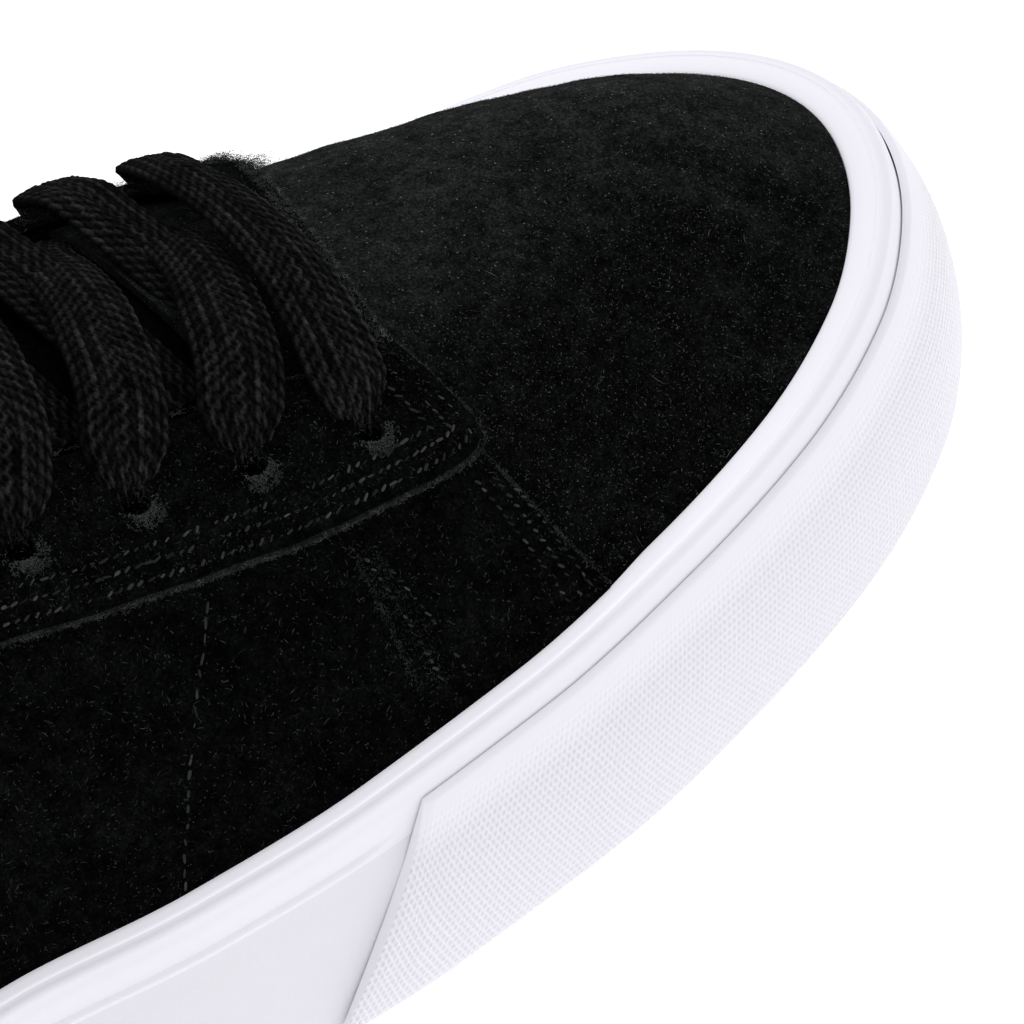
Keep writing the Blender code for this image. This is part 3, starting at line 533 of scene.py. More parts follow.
# Stitch rows behind the quarter's front edge, from the eyestay down to the sole
FRONT_ROWS = (
    ((170.9, -38.6), (172.2, -48.2)), ((173.0, -38.0), (173.9, -47.9)), ((174.3, -38.4), (175.7, -47.8)),
)
PATCH_EDGE = ((153.1, -39.9), (152.2, -44.3), (151.4, -46.2), (151.1, -47.9))
PATCH_ROWS = (
    ((154.0, -40.3), (154.2, -43.6), (154.0, -48.2)), ((155.6, -41.6), (156.9, -46.0), (157.1, -48.4)),
)
SIDE_SEAM = ((135.7, -38.9), (131.7, -41.4), (125.2, -44.2), (119.9, -45.6), (115.6, -45.9))


def rng(seed):
    return np.random.default_rng(seed)


def link(name, points, faces, materials, slots=None, place=None, marks=None, recalc=True):
    """A mesh object from points and faces, with a place map and named marks at its points."""
    mesh = bpy.data.meshes.new(name)
    mesh.from_pydata(np.asarray(points, float).reshape(-1, 3).tolist(), [], faces)
    if place is not None:
        layer = mesh.uv_layers.new(name="place")
        loops = np.zeros(len(mesh.loops), np.int64)
        mesh.loops.foreach_get("vertex_index", loops)
        layer.data.foreach_set("uv", np.asarray(place, np.float32).reshape(-1, 2)[loops].ravel())
    for key, values in (marks or {}).items():
        attribute = mesh.attributes.new(key, "FLOAT", "POINT")
        attribute.data.foreach_set("value", np.asarray(values, np.float32).ravel())
    for look in materials:
        mesh.materials.append(look)
    if slots is not None:
        mesh.polygons.foreach_set("material_index", np.asarray(slots, np.int32))
    if recalc:
        bm = bmesh.new()
        bm.from_mesh(mesh)
        bmesh.ops.remove_doubles(bm, verts=bm.verts, dist=2e-6)
        bmesh.ops.recalc_face_normals(bm, faces=bm.faces)
        bm.to_mesh(mesh)
        bm.free()
    mesh.shade_smooth()
    mesh.set_sharp_from_angle(angle=0.9)
    obj = bpy.data.objects.new(name, mesh)
    bpy.context.scene.collection.objects.link(obj)
    return obj


def grid_quads(rows, columns, closed=False, start=0):
    ends = columns if closed else columns - 1
    i, j = np.meshgrid(np.arange(rows - 1), np.arange(ends), indexing="ij")
    k = (j + 1) % columns
    quads = np.stack([i * columns + j, i * columns + k, (i + 1) * columns + k, (i + 1) * columns + j], -1)
    return quads.reshape(-1, 4) + start


def slab(name, outer, inner, materials, place=None, rims=(0, -1)):
    """Solid between two grids of points, with strips of the second material along their edges."""
    rows, columns = outer.shape[:2]
    count = rows * columns
    top = grid_quads(rows, columns)
    low = grid_quads(rows, columns, start=count)[:, ::-1]
    across, up = np.arange(columns - 1), np.arange(rows - 1)
    edges = [np.stack([r * columns + across, r * columns + across + 1], -1) for r in (0, rows - 1)]
    for rim in rims:
        edges.append(np.stack([up * columns, (up + 1) * columns], -1) + rim % columns)
    edges = np.concatenate(edges)
    strips = np.stack([edges[:, 0], edges[:, 1], edges[:, 1] + count, edges[:, 0] + count], -1)
    faces = np.concatenate([top, low, strips]).tolist()
    slots = [0] * (len(top) + len(low)) + [1] * len(strips)
    points = np.concatenate([outer.reshape(-1, 3), inner.reshape(-1, 3)])
    if place is not None:
        place = np.concatenate([place.reshape(-1, 2)] * 2)
    return link(name, points, faces, materials, slots, place)


def wear(piece, slot, *nodes):
    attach(piece, "root")
    if nodes:
        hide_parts(*nodes)


def arc_lengths(points):
    run = np.linalg.norm(np.diff(points, axis=0), axis=-1)
    return np.concatenate([[0], np.cumsum(run)])


def sample(at, run, values):
    """Columns of values at lengths along a line."""
    return np.stack([np.interp(at, run, part) for part in values.T], -1)


def resample(points, spacing):
    """Points at an even distance along a line."""
    length = arc_lengths(points)
    return sample(np.linspace(0, length[-1], max(2, round(length[-1] / spacing) + 1)), length, points)


def eased(line, passes):
    """A line with its corners rounded, in place."""
    for _ in range(passes):
        line[1:-1] = 0.25 * line[:-2] + 0.5 * line[1:-1] + 0.25 * line[2:]
    return line


def rounded(points, spacing, passes):
    """A line through points with its corners eased."""
    return eased(resample(points, spacing), passes)


def drawn(points, passes, flip=1):
    """A line through points in millimetres, or for flip -1 its like on the inner side."""
    line = rounded(np.array(points) / 1000, 0.0004, passes)
    if flip > 0:
        return line
    station = station_at(line[:, 0])
    scale = half_width(station, 1) / half_width(station, -1)
    return np.stack([line[:, 0], -line[:, 1] * scale], -1)


def on_skin(plan, height=0.0):
    """Points at a height over the last, and its normals, at plan points."""
    angle, up = on_plan(plan[..., 0], plan[..., 1])
    normal = surface_normal(angle, up)
    return last_surface(angle, up) + normal * np.asarray(height)[..., None], normal


def offset_line(plan, distance):
    """A line at a distance beside another on the last, to its left, without loops."""
    point, normal = on_skin(plan)
    moved = point + np.cross(normal, unit(np.gradient(point, axis=0))) * distance
    near = np.linalg.norm(moved[:, None] - point[None], axis=-1).min(axis=1)
    return moved[near > 0.93 * distance][:, :2]


# Fibres and stitches

def scatter(points, count, dice):
    """Random places on a grid of points by area, with the surface's normals there."""
    normal = np.cross(np.diff(points, axis=0)[:, :-1], np.diff(points, axis=1)[:-1])
    area = np.linalg.norm(normal, axis=-1)
    cell = dice.choice(area.size, count, p=(area / area.sum()).ravel())
    i, j = np.unravel_index(cell, area.shape)
    u, v = dice.random((2, count, 1))
    low = points[i, j] * (1 - u) + points[i + 1, j] * u
    high = points[i, j + 1] * (1 - u) + points[i + 1, j + 1] * u
    return low * (1 - v) + high * v, unit(normal[i, j])


def any_way(normal, dice):
    raw = dice.normal(size=normal.shape)
    return unit(raw - normal * (raw * normal).sum(-1, keepdims=True))


def fibres(name, root, normal, heading, length, width, tone, look, dice, rise=0.00010, bend=0.14):
    """Fine fibres lying on a surface, each a curved ribbon that tapers to its ends."""
    count = len(root)
    side = np.cross(normal, heading)
    curl = dice.normal(0, bend, count)
    high = rise * (0.35 + dice.random(count))
    rows = []
    for way, thin in ((-0.5, 0.4), (0.0, 1.0), (0.5, 0.4)):
        swing = length * curl * (1 - 4 * way * way)
        up = high * (1 - 2 * way * way)
        centre = root + heading * (length * way)[:, None] + side * swing[:, None] + normal * up[:, None]
        half = side * (0.5 * thin * width)[:, None]
        rows += [centre - half, centre + half]
    quads = np.array([[0, 2, 3, 1], [2, 4, 5, 3]])
    faces = (quads + 6 * np.arange(count)[:, None, None]).reshape(-1, 4).tolist()
    piece = link(name, np.stack(rows, 1), faces, [look], marks={"tone": np.repeat(tone, 6)}, recalc=False)
    wear(piece, "suede")


def nap(name, points, count, length, width, tones, look, seed):
    """Loose ends of the suede over a grid of points: most are dull, a few bright."""
    dice = rng(seed)
    root, normal = scatter(points, count, dice)
    long = length * (0.55 + 1.5 * dice.random(count) ** 3)
    wide = width * (0.7 + 0.6 * dice.random(count))
    tone = tones[0] + (tones[1] - tones[0]) * dice.random(count) ** 2.6
    fibres(name, root, normal, any_way(normal, dice), long, wide, tone, look, dice, bend=0.06)


def along_line(line, normal, per_metre, spread, dice, turn):
    """Random places beside a line, with directions mostly along it."""
    run = arc_lengths(line)
    count = int(run[-1] * per_metre)
    at = dice.random(count) * run[-1]
    tangent = unit(np.gradient(line, axis=0))
    place, ahead, rise = (sample(at, run, part) for part in (line, tangent, normal))
    rise = unit(rise)
    side = unit(np.cross(rise, ahead))
    swing = dice.normal(0, turn, (count, 1))
    root = place + side * dice.normal(0, spread, (count, 1))
    root = root + rise * dice.normal(0.00008, 0.00008, (count, 1))
    return root, rise, unit(ahead * np.cos(swing) + side * np.sin(swing))


def beads(centre, ahead, normal, length, radius):
    """Rounded beads: points and faces."""
    side = unit(np.cross(normal, ahead))
    turns = 2 * pi * np.arange(6) / 6
    rows = [centre - ahead * (0.5 * length)[:, None]]
    for way, fat in ((-0.34, 0.86), (0.0, 1.0), (0.34, 0.86)):
        for turn in turns:
            off = side * np.cos(turn) + normal * 0.8 * np.sin(turn)
            rows.append(centre + ahead * (way * length)[:, None] + off * (fat * radius)[:, None])
    rows.append(centre + ahead * (0.5 * length)[:, None])
    points = np.stack(rows, 1).reshape(-1, 3)
    faces = []
    for k in range(6):
        j = (k + 1) % 6
        faces += [[0, 1 + j, 1 + k, 1 + k], [19, 13 + k, 13 + j, 13 + j]]
        for ring in (1, 7):
            faces.append([ring + k, ring + j, ring + 6 + j, ring + 6 + k])
    whole = (np.array(faces) + 20 * np.arange(len(centre))[:, None, None]).reshape(-1, 4).tolist()
    return points, [face[:3] if face[2] == face[3] else face for face in whole]


def thread_line(point, normal, size, slant, dice):
    """Beads of thread along a line over a surface. Size is their pitch, length and radius."""
    pitch, length, radius = size
    run = arc_lengths(point)
    at = np.arange(0.5 * pitch, run[-1], pitch)
    count = len(at)
    at = at + dice.normal(0, 0.09 * pitch, count)
    tangent = unit(np.gradient(point, axis=0))
    place, ahead, rise = (sample(at, run, part) for part in (point, tangent, normal))
    ahead, rise = unit(ahead), unit(rise)
    lean = (slant + dice.normal(0, 0.20, count))[:, None]
    way = ahead * np.cos(lean) + np.cross(rise, ahead) * np.sin(lean)
    long = length * (1 + dice.normal(0, 0.20, count))
    fat = radius * (1 + dice.normal(0, 0.16, count))
    centre = place + rise * dice.normal(0.00003, 0.00006, count)[:, None]
    points, faces = beads(centre, way, rise, long, fat)
    return points, faces, np.repeat(0.12 + 0.88 * dice.random(count) ** 1.6, 20)


# Materials

def plug(socket, value):
    """Links an output to a socket, or sets the socket's own value."""
    if isinstance(value, bpy.types.NodeSocket):
        socket.id_data.links.new(value, socket)
    else:
        socket.default_value = (*value, 1) if isinstance(value, tuple) else value


def dress(surface, **sockets):
    for key, value in sockets.items():
        plug(surface.inputs[key.replace("_", " ")], value)


def shader(name, colour=(0.5, 0.5, 0.5), roughness=0.8, specular=0.3):
    """A material and its surface shader."""
    made = bpy.data.materials.new(name)
    made.use_nodes = True
    surface = made.node_tree.nodes["Principled BSDF"]
    dress(surface, Base_Color=colour, Roughness=roughness, Specular_IOR_Level=specular)
    return made, surface


def node(tree, kind, **values):
    """A node with its sockets and settings."""
    made = tree.nodes.new("ShaderNode" + kind)
    for key, value in values.items():
        if key in made.inputs:
            plug(made.inputs[key], value)
        else:
            setattr(made, key, value)
    return made


def coords(tree):
    return (tree.nodes.get("coords") or node(tree, "TexCoord", name="coords")).outputs["Object"]


def mark(tree, name):
    return node(tree, "Attribute", attribute_name=name).outputs["Fac"]


def noise(tree, scale, detail=2.0, roughness=0.5):
    made = node(tree, "TexNoise", Scale=scale, Detail=detail, Roughness=roughness, Vector=coords(tree))
    return made.outputs["Fac"]


def ramp(value, *stops):
    """Colours at positions: stops are (position, colour or grey)."""
    made = node(value.id_data, "ValToRGB", Fac=value)
    band = made.color_ramp
    while len(band.elements) < len(stops):
        band.elements.new(0.5)
    for element, (position, colour) in zip(band.elements, stops):
        element.position = position
        element.color = (*(colour if isinstance(colour, tuple) else (colour,) * 3), 1)
    return made.outputs["Color"]


def maths(kind, first, second):
    made = node(first.id_data, "Math", operation=kind)
    plug(made.inputs[0], first)
    plug(made.inputs[1], second)
    return made.outputs[0]


def mixed(kind, factor, first, second):
    made = node(first.id_data, "Mix", data_type="RGBA", blend_type=kind)
    for key, value in ((0, factor), (6, first), (7, second)):
        plug(made.inputs[key], value)
    return made.outputs[2]


def times(first, second):
    return mixed("MULTIPLY", 1.0, first, second)


def bump(height, distance):
    return node(height.id_data, "Bump", Strength=1.0, Distance=distance, Height=height).outputs["Normal"]


def fleck_mask(tree, scale, share):
    """White in a share of small cells."""
    cells = node(tree, "TexVoronoi", Scale=scale, Vector=coords(tree))
    pick = node(tree, "SeparateColor", Color=cells.outputs["Color"]).outputs[0]
    inside = maths("LESS_THAN", cells.outputs["Distance"], 0.38)
    return maths("MULTIPLY", maths("GREATER_THAN", pick, 1 - share), inside)


def tone(value):
    """A grey of the slightly green suede."""
    return tuple(float(v) for v in value * np.array(TINT))


def suede(name, dark, light, fleck, share, slope_light=None, sheen=0.006, grain=2600.0, relief=0.00016):
    """Brushed split leather: nap in clumps, with pale fibre ends. A table, where given, paints light and
    shade on its colour by which way the surface faces.
    """
    made, surface = shader(name, roughness=0.98, specular=0.0)
    tree = surface.id_data
    dark, light = tone(dark), tone(light)
    middle = tuple(0.42 * (a + b) for a, b in zip(dark, light))
    colour = ramp(noise(tree, grain, 3.0, 0.6), (0.34, dark), (0.52, middle), (0.70, light))
    clumps = ((0.3, (0.58, 0.60, 0.57)), (0.5, (0.95, 0.93, 0.98)), (0.7, (1.38, 1.42, 1.36)))
    colour = times(colour, ramp(noise(tree, 150.0, 3.0, 0.55), *clumps))
    colour = times(colour, ramp(noise(tree, 620.0), (0.32, 0.55), (0.68, 1.45)))
    patches = ramp(noise(tree, 900.0, 1.0), (0.42, 0.0), (0.62, 1.0))
    flecks = maths("MULTIPLY", fleck_mask(tree, 3300.0, share), patches)
    colour = mixed("MIX", flecks, colour, tone(fleck))
    # Painted light and shade: the colour times a factor by how far the surface faces the inner side.
    if slope_light:
        slope = node(tree, "SeparateXYZ", Vector=node(tree, "NewGeometry").outputs["Normal"]).outputs[1]
        colour = times(colour, ramp(maths("ADD", maths("MULTIPLY", slope, 0.5), 0.5), *slope_light))
    dress(surface, Base_Color=colour, Normal=bump(noise(tree, 1500.0, 4.0, 0.65), relief))
    dress(surface, Sheen_Weight=sheen, Sheen_Roughness=0.45, Sheen_Tint=(0.9, 0.97, 0.94))
    return made


def fibre_look(name, dull, bright):
    """Colour of a fibre from its own tone."""
    made, surface = shader(name, tone(bright), 0.9, 0.0)
    dress(surface, Base_Color=ramp(mark(surface.id_data, "tone"), (0.0, tone(dull)), (1.0, tone(bright))))
    return made


def cloth(name, colour, roughness, low, high):
    """Fine plain cloth in two tones."""
    made, surface = shader(name, colour, roughness, 0.0)
    tree = surface.id_data
    dress(surface, Base_Color=ramp(noise(tree, 1400.0), (0.3, tone(low)), (0.7, tone(high))))
    dress(surface, Normal=bump(noise(tree, 1800.0), 0.0002))
    return made


def lace_look():
    """Braid: painted shade between the yarns and painted light on their raised floats, with a random tone per
    float.
    """
    made, surface = shader("lace_braid", (0.01, 0.01, 0.011), 0.9, 0.0)
    tree = surface.id_data
    # Colour by the depth mark, the float's raised height: near black in the gaps as painted shade, pale on
    # the tops as painted light.
    depths = [
        (at, (0.99 * v, 1.03 * v, 0.97 * v)) for at, v in ((0.26, 0.0003), (0.62, 0.0046), (1.0, 0.0230))
    ]
    yarn = noise(tree, 2600.0, 3.0, 0.6)
    colour = times(ramp(mark(tree, "depth"), *depths), ramp(yarn, (0.3, 0.35), (0.75, 1.8)))
    colour = times(colour, ramp(noise(tree, 330.0), (0.3, 0.55), (0.7, 1.6)))
    dress(surface, Base_Color=colour, Normal=bump(yarn, 0.00014), Sheen_Weight=0.008)
    return made


def rubber(name, colour):
    made, surface = shader(name, colour, 0.5)
    dull = tuple(0.985 * part for part in colour)
    dress(surface, Base_Color=ramp(noise(surface.id_data, 24.0, 3.0), (0.3, dull), (0.7, colour)))
    return made, surface, surface.id_data


def ledge_look():
    """Smooth rubber. Where the upper shades it, it adds a little light of its own, by its mark."""
    made, surface, tree = rubber("rubber_smooth", LIGHT)
    glow = times(ramp(mark(tree, "shade"), (0.0, 0.0), (1.0, 1.0)), LIGHT)
    dress(surface, Emission_Color=glow, Emission_Strength=1.0)
    return made


def grain_look():
    made, surface, tree = rubber("rubber_grain", WHITE)
    dress(surface, Normal=bump(noise(tree, 1500.0, 2.0, 0.6), 0.00007))
    return made


def knurl_look():
    """Fine knurl of crossing lines that fades out at the bumper's top, with painted shade in its valleys."""
    made, surface, tree = rubber("rubber_knurl", LIGHT)
    place = node(tree, "UVMap", uv_map="place").outputs["UV"]
    along, down = node(tree, "SeparateXYZ", Vector=place).outputs[:2]
    turns = 2 * pi / KNURL_PITCH
    lines = [
        maths("SINE", maths("MULTIPLY", maths(kind, along, down), turns), 0.0) for kind in ("ADD", "SUBTRACT")
    ]
    fade = ramp(maths("MULTIPLY", down, 100.0), (0.14, 0.0), (0.62, 1.0))
    height = maths("MULTIPLY", maths("MULTIPLY", *lines), fade)
    # Painted shade: the knurl's low parts darker, by its height.
    valley_shade = ramp(maths("ADD", maths("MULTIPLY", height, 0.5), 0.5), (0.0, 0.90), (0.5, 1.0))
    dress(surface, Normal=bump(height, 0.00011), Base_Color=times(valley_shade, LIGHT))
    return made


def make_looks():
    return {
        # The vamp's suede carries painted light and shade by the way its surface faces.
        "suede": suede("suede_black", 0.0011, 0.0066, 0.035, 0.05, SLOPE_LIGHT, 0.012),
        "suede_low": suede("suede_quarter", 0.0009, 0.0044, 0.028, 0.06),
        "suede_stay": suede("suede_eyestay", 0.0008, 0.0046, 0.025, 0.04),
        "raw": suede("suede_raw_edge", 0.003, 0.022, 0.06, 0.20, None, 0.012, 3300.0, 0.0003),
        "fibre": fibre_look("nap_fibre", 0.005, 0.20),
        "thread": fibre_look("thread_black", 0.005, 0.056),
        # Dark eyelet discs: painted shade in the holes.
        "hole": shader("hole_painted_shade", (0.0006, 0.0006, 0.0006), 1.0, 0.0)[0],
        "lace": lace_look(),
        "ledge": ledge_look(),
        "grain": grain_look(),
        "knurl": knurl_look(),
        "textile": cloth("lining_textile", (0.012, 0.012, 0.013), 0.95, 0.0009, 0.0042),
        # The tongue's cover is darker than the lining as painted shade, for the tongue lying in shadow under
        # the laces.
        "cover": cloth("tongue_cover", (0.002, 0.002, 0.002), 1.0, 0.0006, 0.0030),
        "footbed": cloth("footbed_cloth", (0.01, 0.01, 0.01), 0.95, 0.005, 0.016),
    }


# Upper

def fan_angles(low, count):
    """Angles round the toe from one side to the other, from a station on."""
    reach = float(angle_of(low, 1))
    return np.linspace(-reach, reach, count)


def ripple(points, size):
    """Soft unevenness of hand-lasted leather."""
    x, y, z = (points[..., k] for k in range(3))
    waves = np.sin(410 * x + 160 * y + 1.0) * np.sin(300 * y - 130 * z + 2.1)
    waves = waves + 0.6 * np.sin(700 * x - 350 * y + 0.4) * np.sin(520 * y + 400 * z)
    return size * waves


def with_hem(grid):
    """A grid of points with one more row under the feather line."""
    return np.concatenate([grid[:, :1] - np.array([0, 0, HEM]), grid], 1)


def make_vamp(looks):
    angle = fan_angles(QUARTER_FRONT - 0.075, 241)
    shares = np.concatenate([[0.0, 0.012], np.linspace(0.03, 1, 74)])
    grid = np.meshgrid(angle, shares, indexing="ij")
    waves = ripple(last_surface(*grid), 0.00012) * ease(0.02, 0.1, grid[1])
    outer, inner = raised(*grid, waves), raised(*grid, np.full(waves.shape, -VAMP_INSIDE))
    for side in (outer, inner):
        side[:, -1] = 0.5 * (side[:, -1] + side[::-1, -1])
    piece = slab("vamp", with_hem(outer), with_hem(inner), [looks["suede"], looks["raw"]], rims=(0,))
    wear(piece, "suede", "upper")
    seen = outer[abs(station_of(angle) - 1) < 1 - QUARTER_FRONT + 0.01]
    nap("vamp_nap", seen, 28000, 0.00020, 0.00009, (0.02, 0.46), looks["fibre"], 3)
    nap("vamp_hairs", seen, 260, 0.0009, 0.00007, (0.12, 0.5), looks["fibre"], 4)


def quarter_columns():
    return np.concatenate([
        np.linspace(0, 1, 46) ** 2 * 0.14,
        np.linspace(0.14, THROAT_FRONT, 150)[1:],
        np.linspace(THROAT_FRONT, QUARTER_FRONT, 8)[1:],
    ])


def make_quarters(looks):
    """Both quarters as one shell, with the padded collar rolled over its top."""
    stations = quarter_columns()[1:]
    angle = np.concatenate([angle_of(stations, -1)[::-1], [pi], angle_of(stations, 1)])
    station = station_of(angle)
    side = np.where(angle < 0, -1.0, 1.0)
    closed = station > THROAT_FRONT - 1e-6
    rim = np.where(closed, 1.0, rim_share(angle))
    pad = padding(station, np.ones(len(station)))
    radius = np.where(closed, 0.0, 0.5 * (QUARTER_STEP + WALL + pad))
    rise = unit(last_surface(angle, rim) - last_surface(angle, rim * 0.97))
    height = arc_down(angle, rim)
    keep = 1 - np.minimum(radius / height, 0.9)
    foot = feather(angle)
    hem = foot + outward(angle) * QUARTER_STEP
    hem[:, 2] -= HEM
    ways = np.concatenate([[0.0, 0.012], np.linspace(0.03, 1, 60)])
    sections = [hem]
    for way in ways:
        share = rim * way * keep
        angle = front_of(station, side, share)
        waves = ripple(last_surface(angle, share), 0.00010) * float(0.05 < way)
        swell = 0.0014 * pad / COLLAR_PADDING * np.exp(-(((1 - way) * height) / 0.012 - 0.6) ** 2)
        sections.append(raised(angle, share, QUARTER_STEP + waves + swell))
    skin = np.array(sections[1:])
    normal = surface_normal(angle, rim * keep)
    centre = last_surface(angle, rim * keep) + normal * (0.5 * (QUARTER_STEP - WALL - pad))[:, None]
    for turn in np.linspace(0, pi, 13)[1:-1]:
        out, up = (radius * np.cos(turn))[:, None], (radius * np.sin(turn))[:, None]
        sections.append(centre + normal * out + rise * up)
    for way in np.linspace(1, 0.02, 24):
        share = rim * way * keep
        angle = front_of(station, side, share)
        sections.append(raised(angle, share, -WALL - padding(station, np.full(len(station), way))))
    inner_hem = foot - outward(angle) * WALL
    inner_hem[:, 2] = np.minimum(inner_hem[:, 2] - HEM, bed(station))
    points = np.array(sections + [inner_hem])
    rows, columns = points.shape[:2]
    row = np.repeat(np.arange(rows - 1), columns - 1)
    last = (rows - 1) * columns
    across = np.arange(columns - 1)
    strip = np.stack([across, across + 1, last + across + 1, last + across], -1)
    ends = [[k * columns + end for k in range(rows)] for end in (0, columns - 1)]
    faces = np.concatenate([grid_quads(rows, columns), strip]).tolist() + ends
    slots = np.where(row < len(ways) + 6, 0, 1).tolist() + [1] * len(strip) + [2, 2]
    materials = [looks["suede_low"], looks["textile"], looks["raw"]]
    wear(link("quarters", points, faces, materials, slots), "suede")
    skin = skin.transpose(1, 0, 2)[::-1]
    make_collar_stitches(looks, skin, station[::-1])
    nap("quarter_nap", skin, 23000, 0.00044, 0.00011, (0.01, 0.16), looks["fibre"], 5)


def make_collar_stitches(looks, skin, station):
    """Two rows of stitches under the padded collar and two beside the seam at the back of the heel."""
    dice = rng(13)
    parts = []
    normal = unit(np.cross(np.gradient(skin, axis=0), np.gradient(skin, axis=1)))
    both = np.concatenate([skin, normal], -1)
    for down in COLLAR_ROWS:
        row = np.array([sample(down, arc_lengths(column[:, :3]), column)
                        for column in both[station < THROAT_BACK - 0.03, ::-1]])
        parts.append(thread_line(row[:, :3], unit(row[:, 3:]), STITCH, 0.2, dice))
    middle = int(np.argmin(station))
    for beside in HEEL_ROWS:
        row = []
        for level in both[middle - 24:middle + 25, 3:].swapaxes(0, 1):
            level = level[np.argsort(level[:, 1])]
            row.append(sample(beside, level[:, 1], level))
        row = np.array(row)
        parts.append(thread_line(row[:, :3], unit(row[:, 3:]), STITCH, 0.2, dice))
    wear(joined("collar_stitching", parts, looks["thread"], "tone"), "suede")


def quarter_edge(across):
    """Where the quarters' front edge lies along the shoe."""
    at, ahead = np.array(QUARTER_EDGE).T / 1000
    return np.interp(across, at, ahead)


def front_of(station, side, share):
    """Angles of the quarters' columns at shares up: the last columns follow the quarters' front edge."""
    last = (station - THROAT_FRONT) / (QUARTER_FRONT - THROAT_FRONT)
    here = last_surface(angle_of(station, side), share)
    move = (quarter_edge(here[:, 1]) - x_at(QUARTER_FRONT)) / LAST_LENGTH
    return angle_of(station + np.clip(last, 0, 1) * move, side)


def arc_down(angle, rim):
    """Length of each column of the upper from the opening down to the feather line."""
    shares = np.linspace(0, 1, 40)[None] * rim[:, None]
    points = last_surface(angle[:, None], shares)
    return np.linalg.norm(np.diff(points, axis=1), axis=-1).sum(1)


# Eyestay

def split_line(line, marks, counts):
    """A line resampled between its points nearest to marks, with a count of points for each stretch."""
    length = arc_lengths(line)
    stops = [0.0] + [length[np.linalg.norm(line - mark, axis=1).argmin()] for mark in marks] + [length[-1]]
    at = [np.linspace(low, high, count, endpoint=False) for low, high, count in zip(stops, stops[1:], counts)]
    return sample(np.concatenate(at + [stops[-1:]]), length, line)


def eyestay_outline():
    """Inner and outer edge of the eyestay on the plan, point for point, from the outer side to the inner."""
    inner, outer = eyestay_edges()
    outer = outer[(outer[:, 1] > 0.019) & (outer[:, 0] < 0.1795)]
    outer = rounded(np.concatenate([np.array(OUTER_EDGE + FRONT_EDGE) / 1000, outer]), 0.0006, 4)
    inner = rounded(inner, 0.0006, 2)
    tips = (np.array([0.1750, -0.0352]), outer[np.argmax(outer[:, 0] + 0.6 * outer[:, 1])])
    corner = x_at(THROAT_FRONT) - 0.3 * THROAT_CORNER
    half = 0.5 * THROAT_WIDTH - 0.3 * THROAT_CORNER
    corners = [np.array([corner, THROAT_SHIFT + way * half]) for way in (-1, 1)]
    counts = (125, 70, 125)
    return split_line(inner, corners, counts), split_line(outer, tips, counts)


def leather_base(plan):
    """Height of what the eyestay lies on: the quarter, and ahead of the quarter's edge the vamp."""
    front = quarter_edge(plan[..., 1])
    return QUARTER_STEP * (1 - ease(front - 0.0005, front + 0.0030, plan[..., 0]))


def make_eyestay(looks):
    inner, outer = eyestay_outline()
    across = np.concatenate([
        [0, 0.012, 0.03, 0.06], np.linspace(0.11, 0.52, 10), np.linspace(0.54, 0.93, 24),
        [0.945, 0.96, 0.974, 0.986, 1.0],
    ])
    drop = np.interp(across, *EYESTAY_DROP)[:, None]
    plan = inner + (outer - inner) * across[:, None, None]
    base = leather_base(plan)
    point, normal = on_skin(plan)
    step = np.linalg.norm(np.diff(point, axis=0), axis=-1)
    from_edge = np.concatenate([np.cumsum(step[::-1], axis=0)[::-1], np.zeros((1, point.shape[1]))])
    groove = sum(np.exp(-(((from_edge - row) / 0.00042) ** 2)) for row in ROWS_INSIDE)
    wave = ripple(point, 0.00012) - 0.00016 * groove * (base > 0.9 * QUARTER_STEP)
    thick = EYESTAY_TOP - QUARTER_STEP
    top = point + normal * (base + thick * (1 - 0.92 * drop) + wave)[..., None]
    low = point + normal * (base + 0.02 * thick)[..., None]
    piece = slab("eyestay_overlay", top, low, [looks["suede_stay"], looks["raw"]])
    rows, columns = len(across) - 1, plan.shape[1] - 1
    slots = np.zeros(len(piece.data.polygons), np.int32)
    piece.data.polygons.foreach_get("material_index", slots)
    slots[:2 * columns] = 1
    slots[(rows - 2) * columns:rows * columns] = 1
    piece.data.polygons.foreach_set("material_index", slots)
    punch(piece, looks)
    wear(piece, "suede", "eyestay")
    nap("eyestay_nap", top[3:-5], 9000, 0.00030, 0.00010, (0.01, 0.20), looks["fibre"], 6)
    return inner, outer


def stay_top(plan):
    return leather_base(plan) + EYESTAY_TOP - QUARTER_STEP


def make_stitching(looks, outer):
    """Rows of stitches inside the eyestay's edge, behind the quarter's front edge and on the side."""
    dice = rng(11)
    parts = []

    def sew(plan, height, size, slant):
        parts.append(thread_line(*on_skin(plan, height), size, slant, dice))

    for row, distance in enumerate(ROWS_INSIDE):
        plan = offset_line(outer, distance)
        wide = plan[:, 0] > x_at(THROAT_FRONT) + 0.0015
        band = (plan[:, 1] > NARROW_FRONT[0]) & (plan[:, 1] < NARROW_FRONT[1])
        keep = ~band | (wide & (row == 0))
        for part in np.split(np.arange(len(plan)), np.flatnonzero(np.diff(keep.astype(int))) + 1):
            if keep[part[0]] and len(part) > 4:
                line = plan[part]
                sew(line, stay_top(line) - 0.00010, STITCH, (0.7 if row == 1 else 1.0) * STITCH_SLANT)
    for flip in (1, -1):
        for ends in FRONT_ROWS + PATCH_ROWS:
            sew(drawn(ends, 2, flip), QUARTER_STEP, FINE_STITCH, STITCH_SLANT)
        sew(drawn(SIDE_SEAM, 4, flip), QUARTER_STEP, SEAM_STITCH, 0.0)
    wear(joined("stitching", parts, looks["thread"], "tone"), "suede")


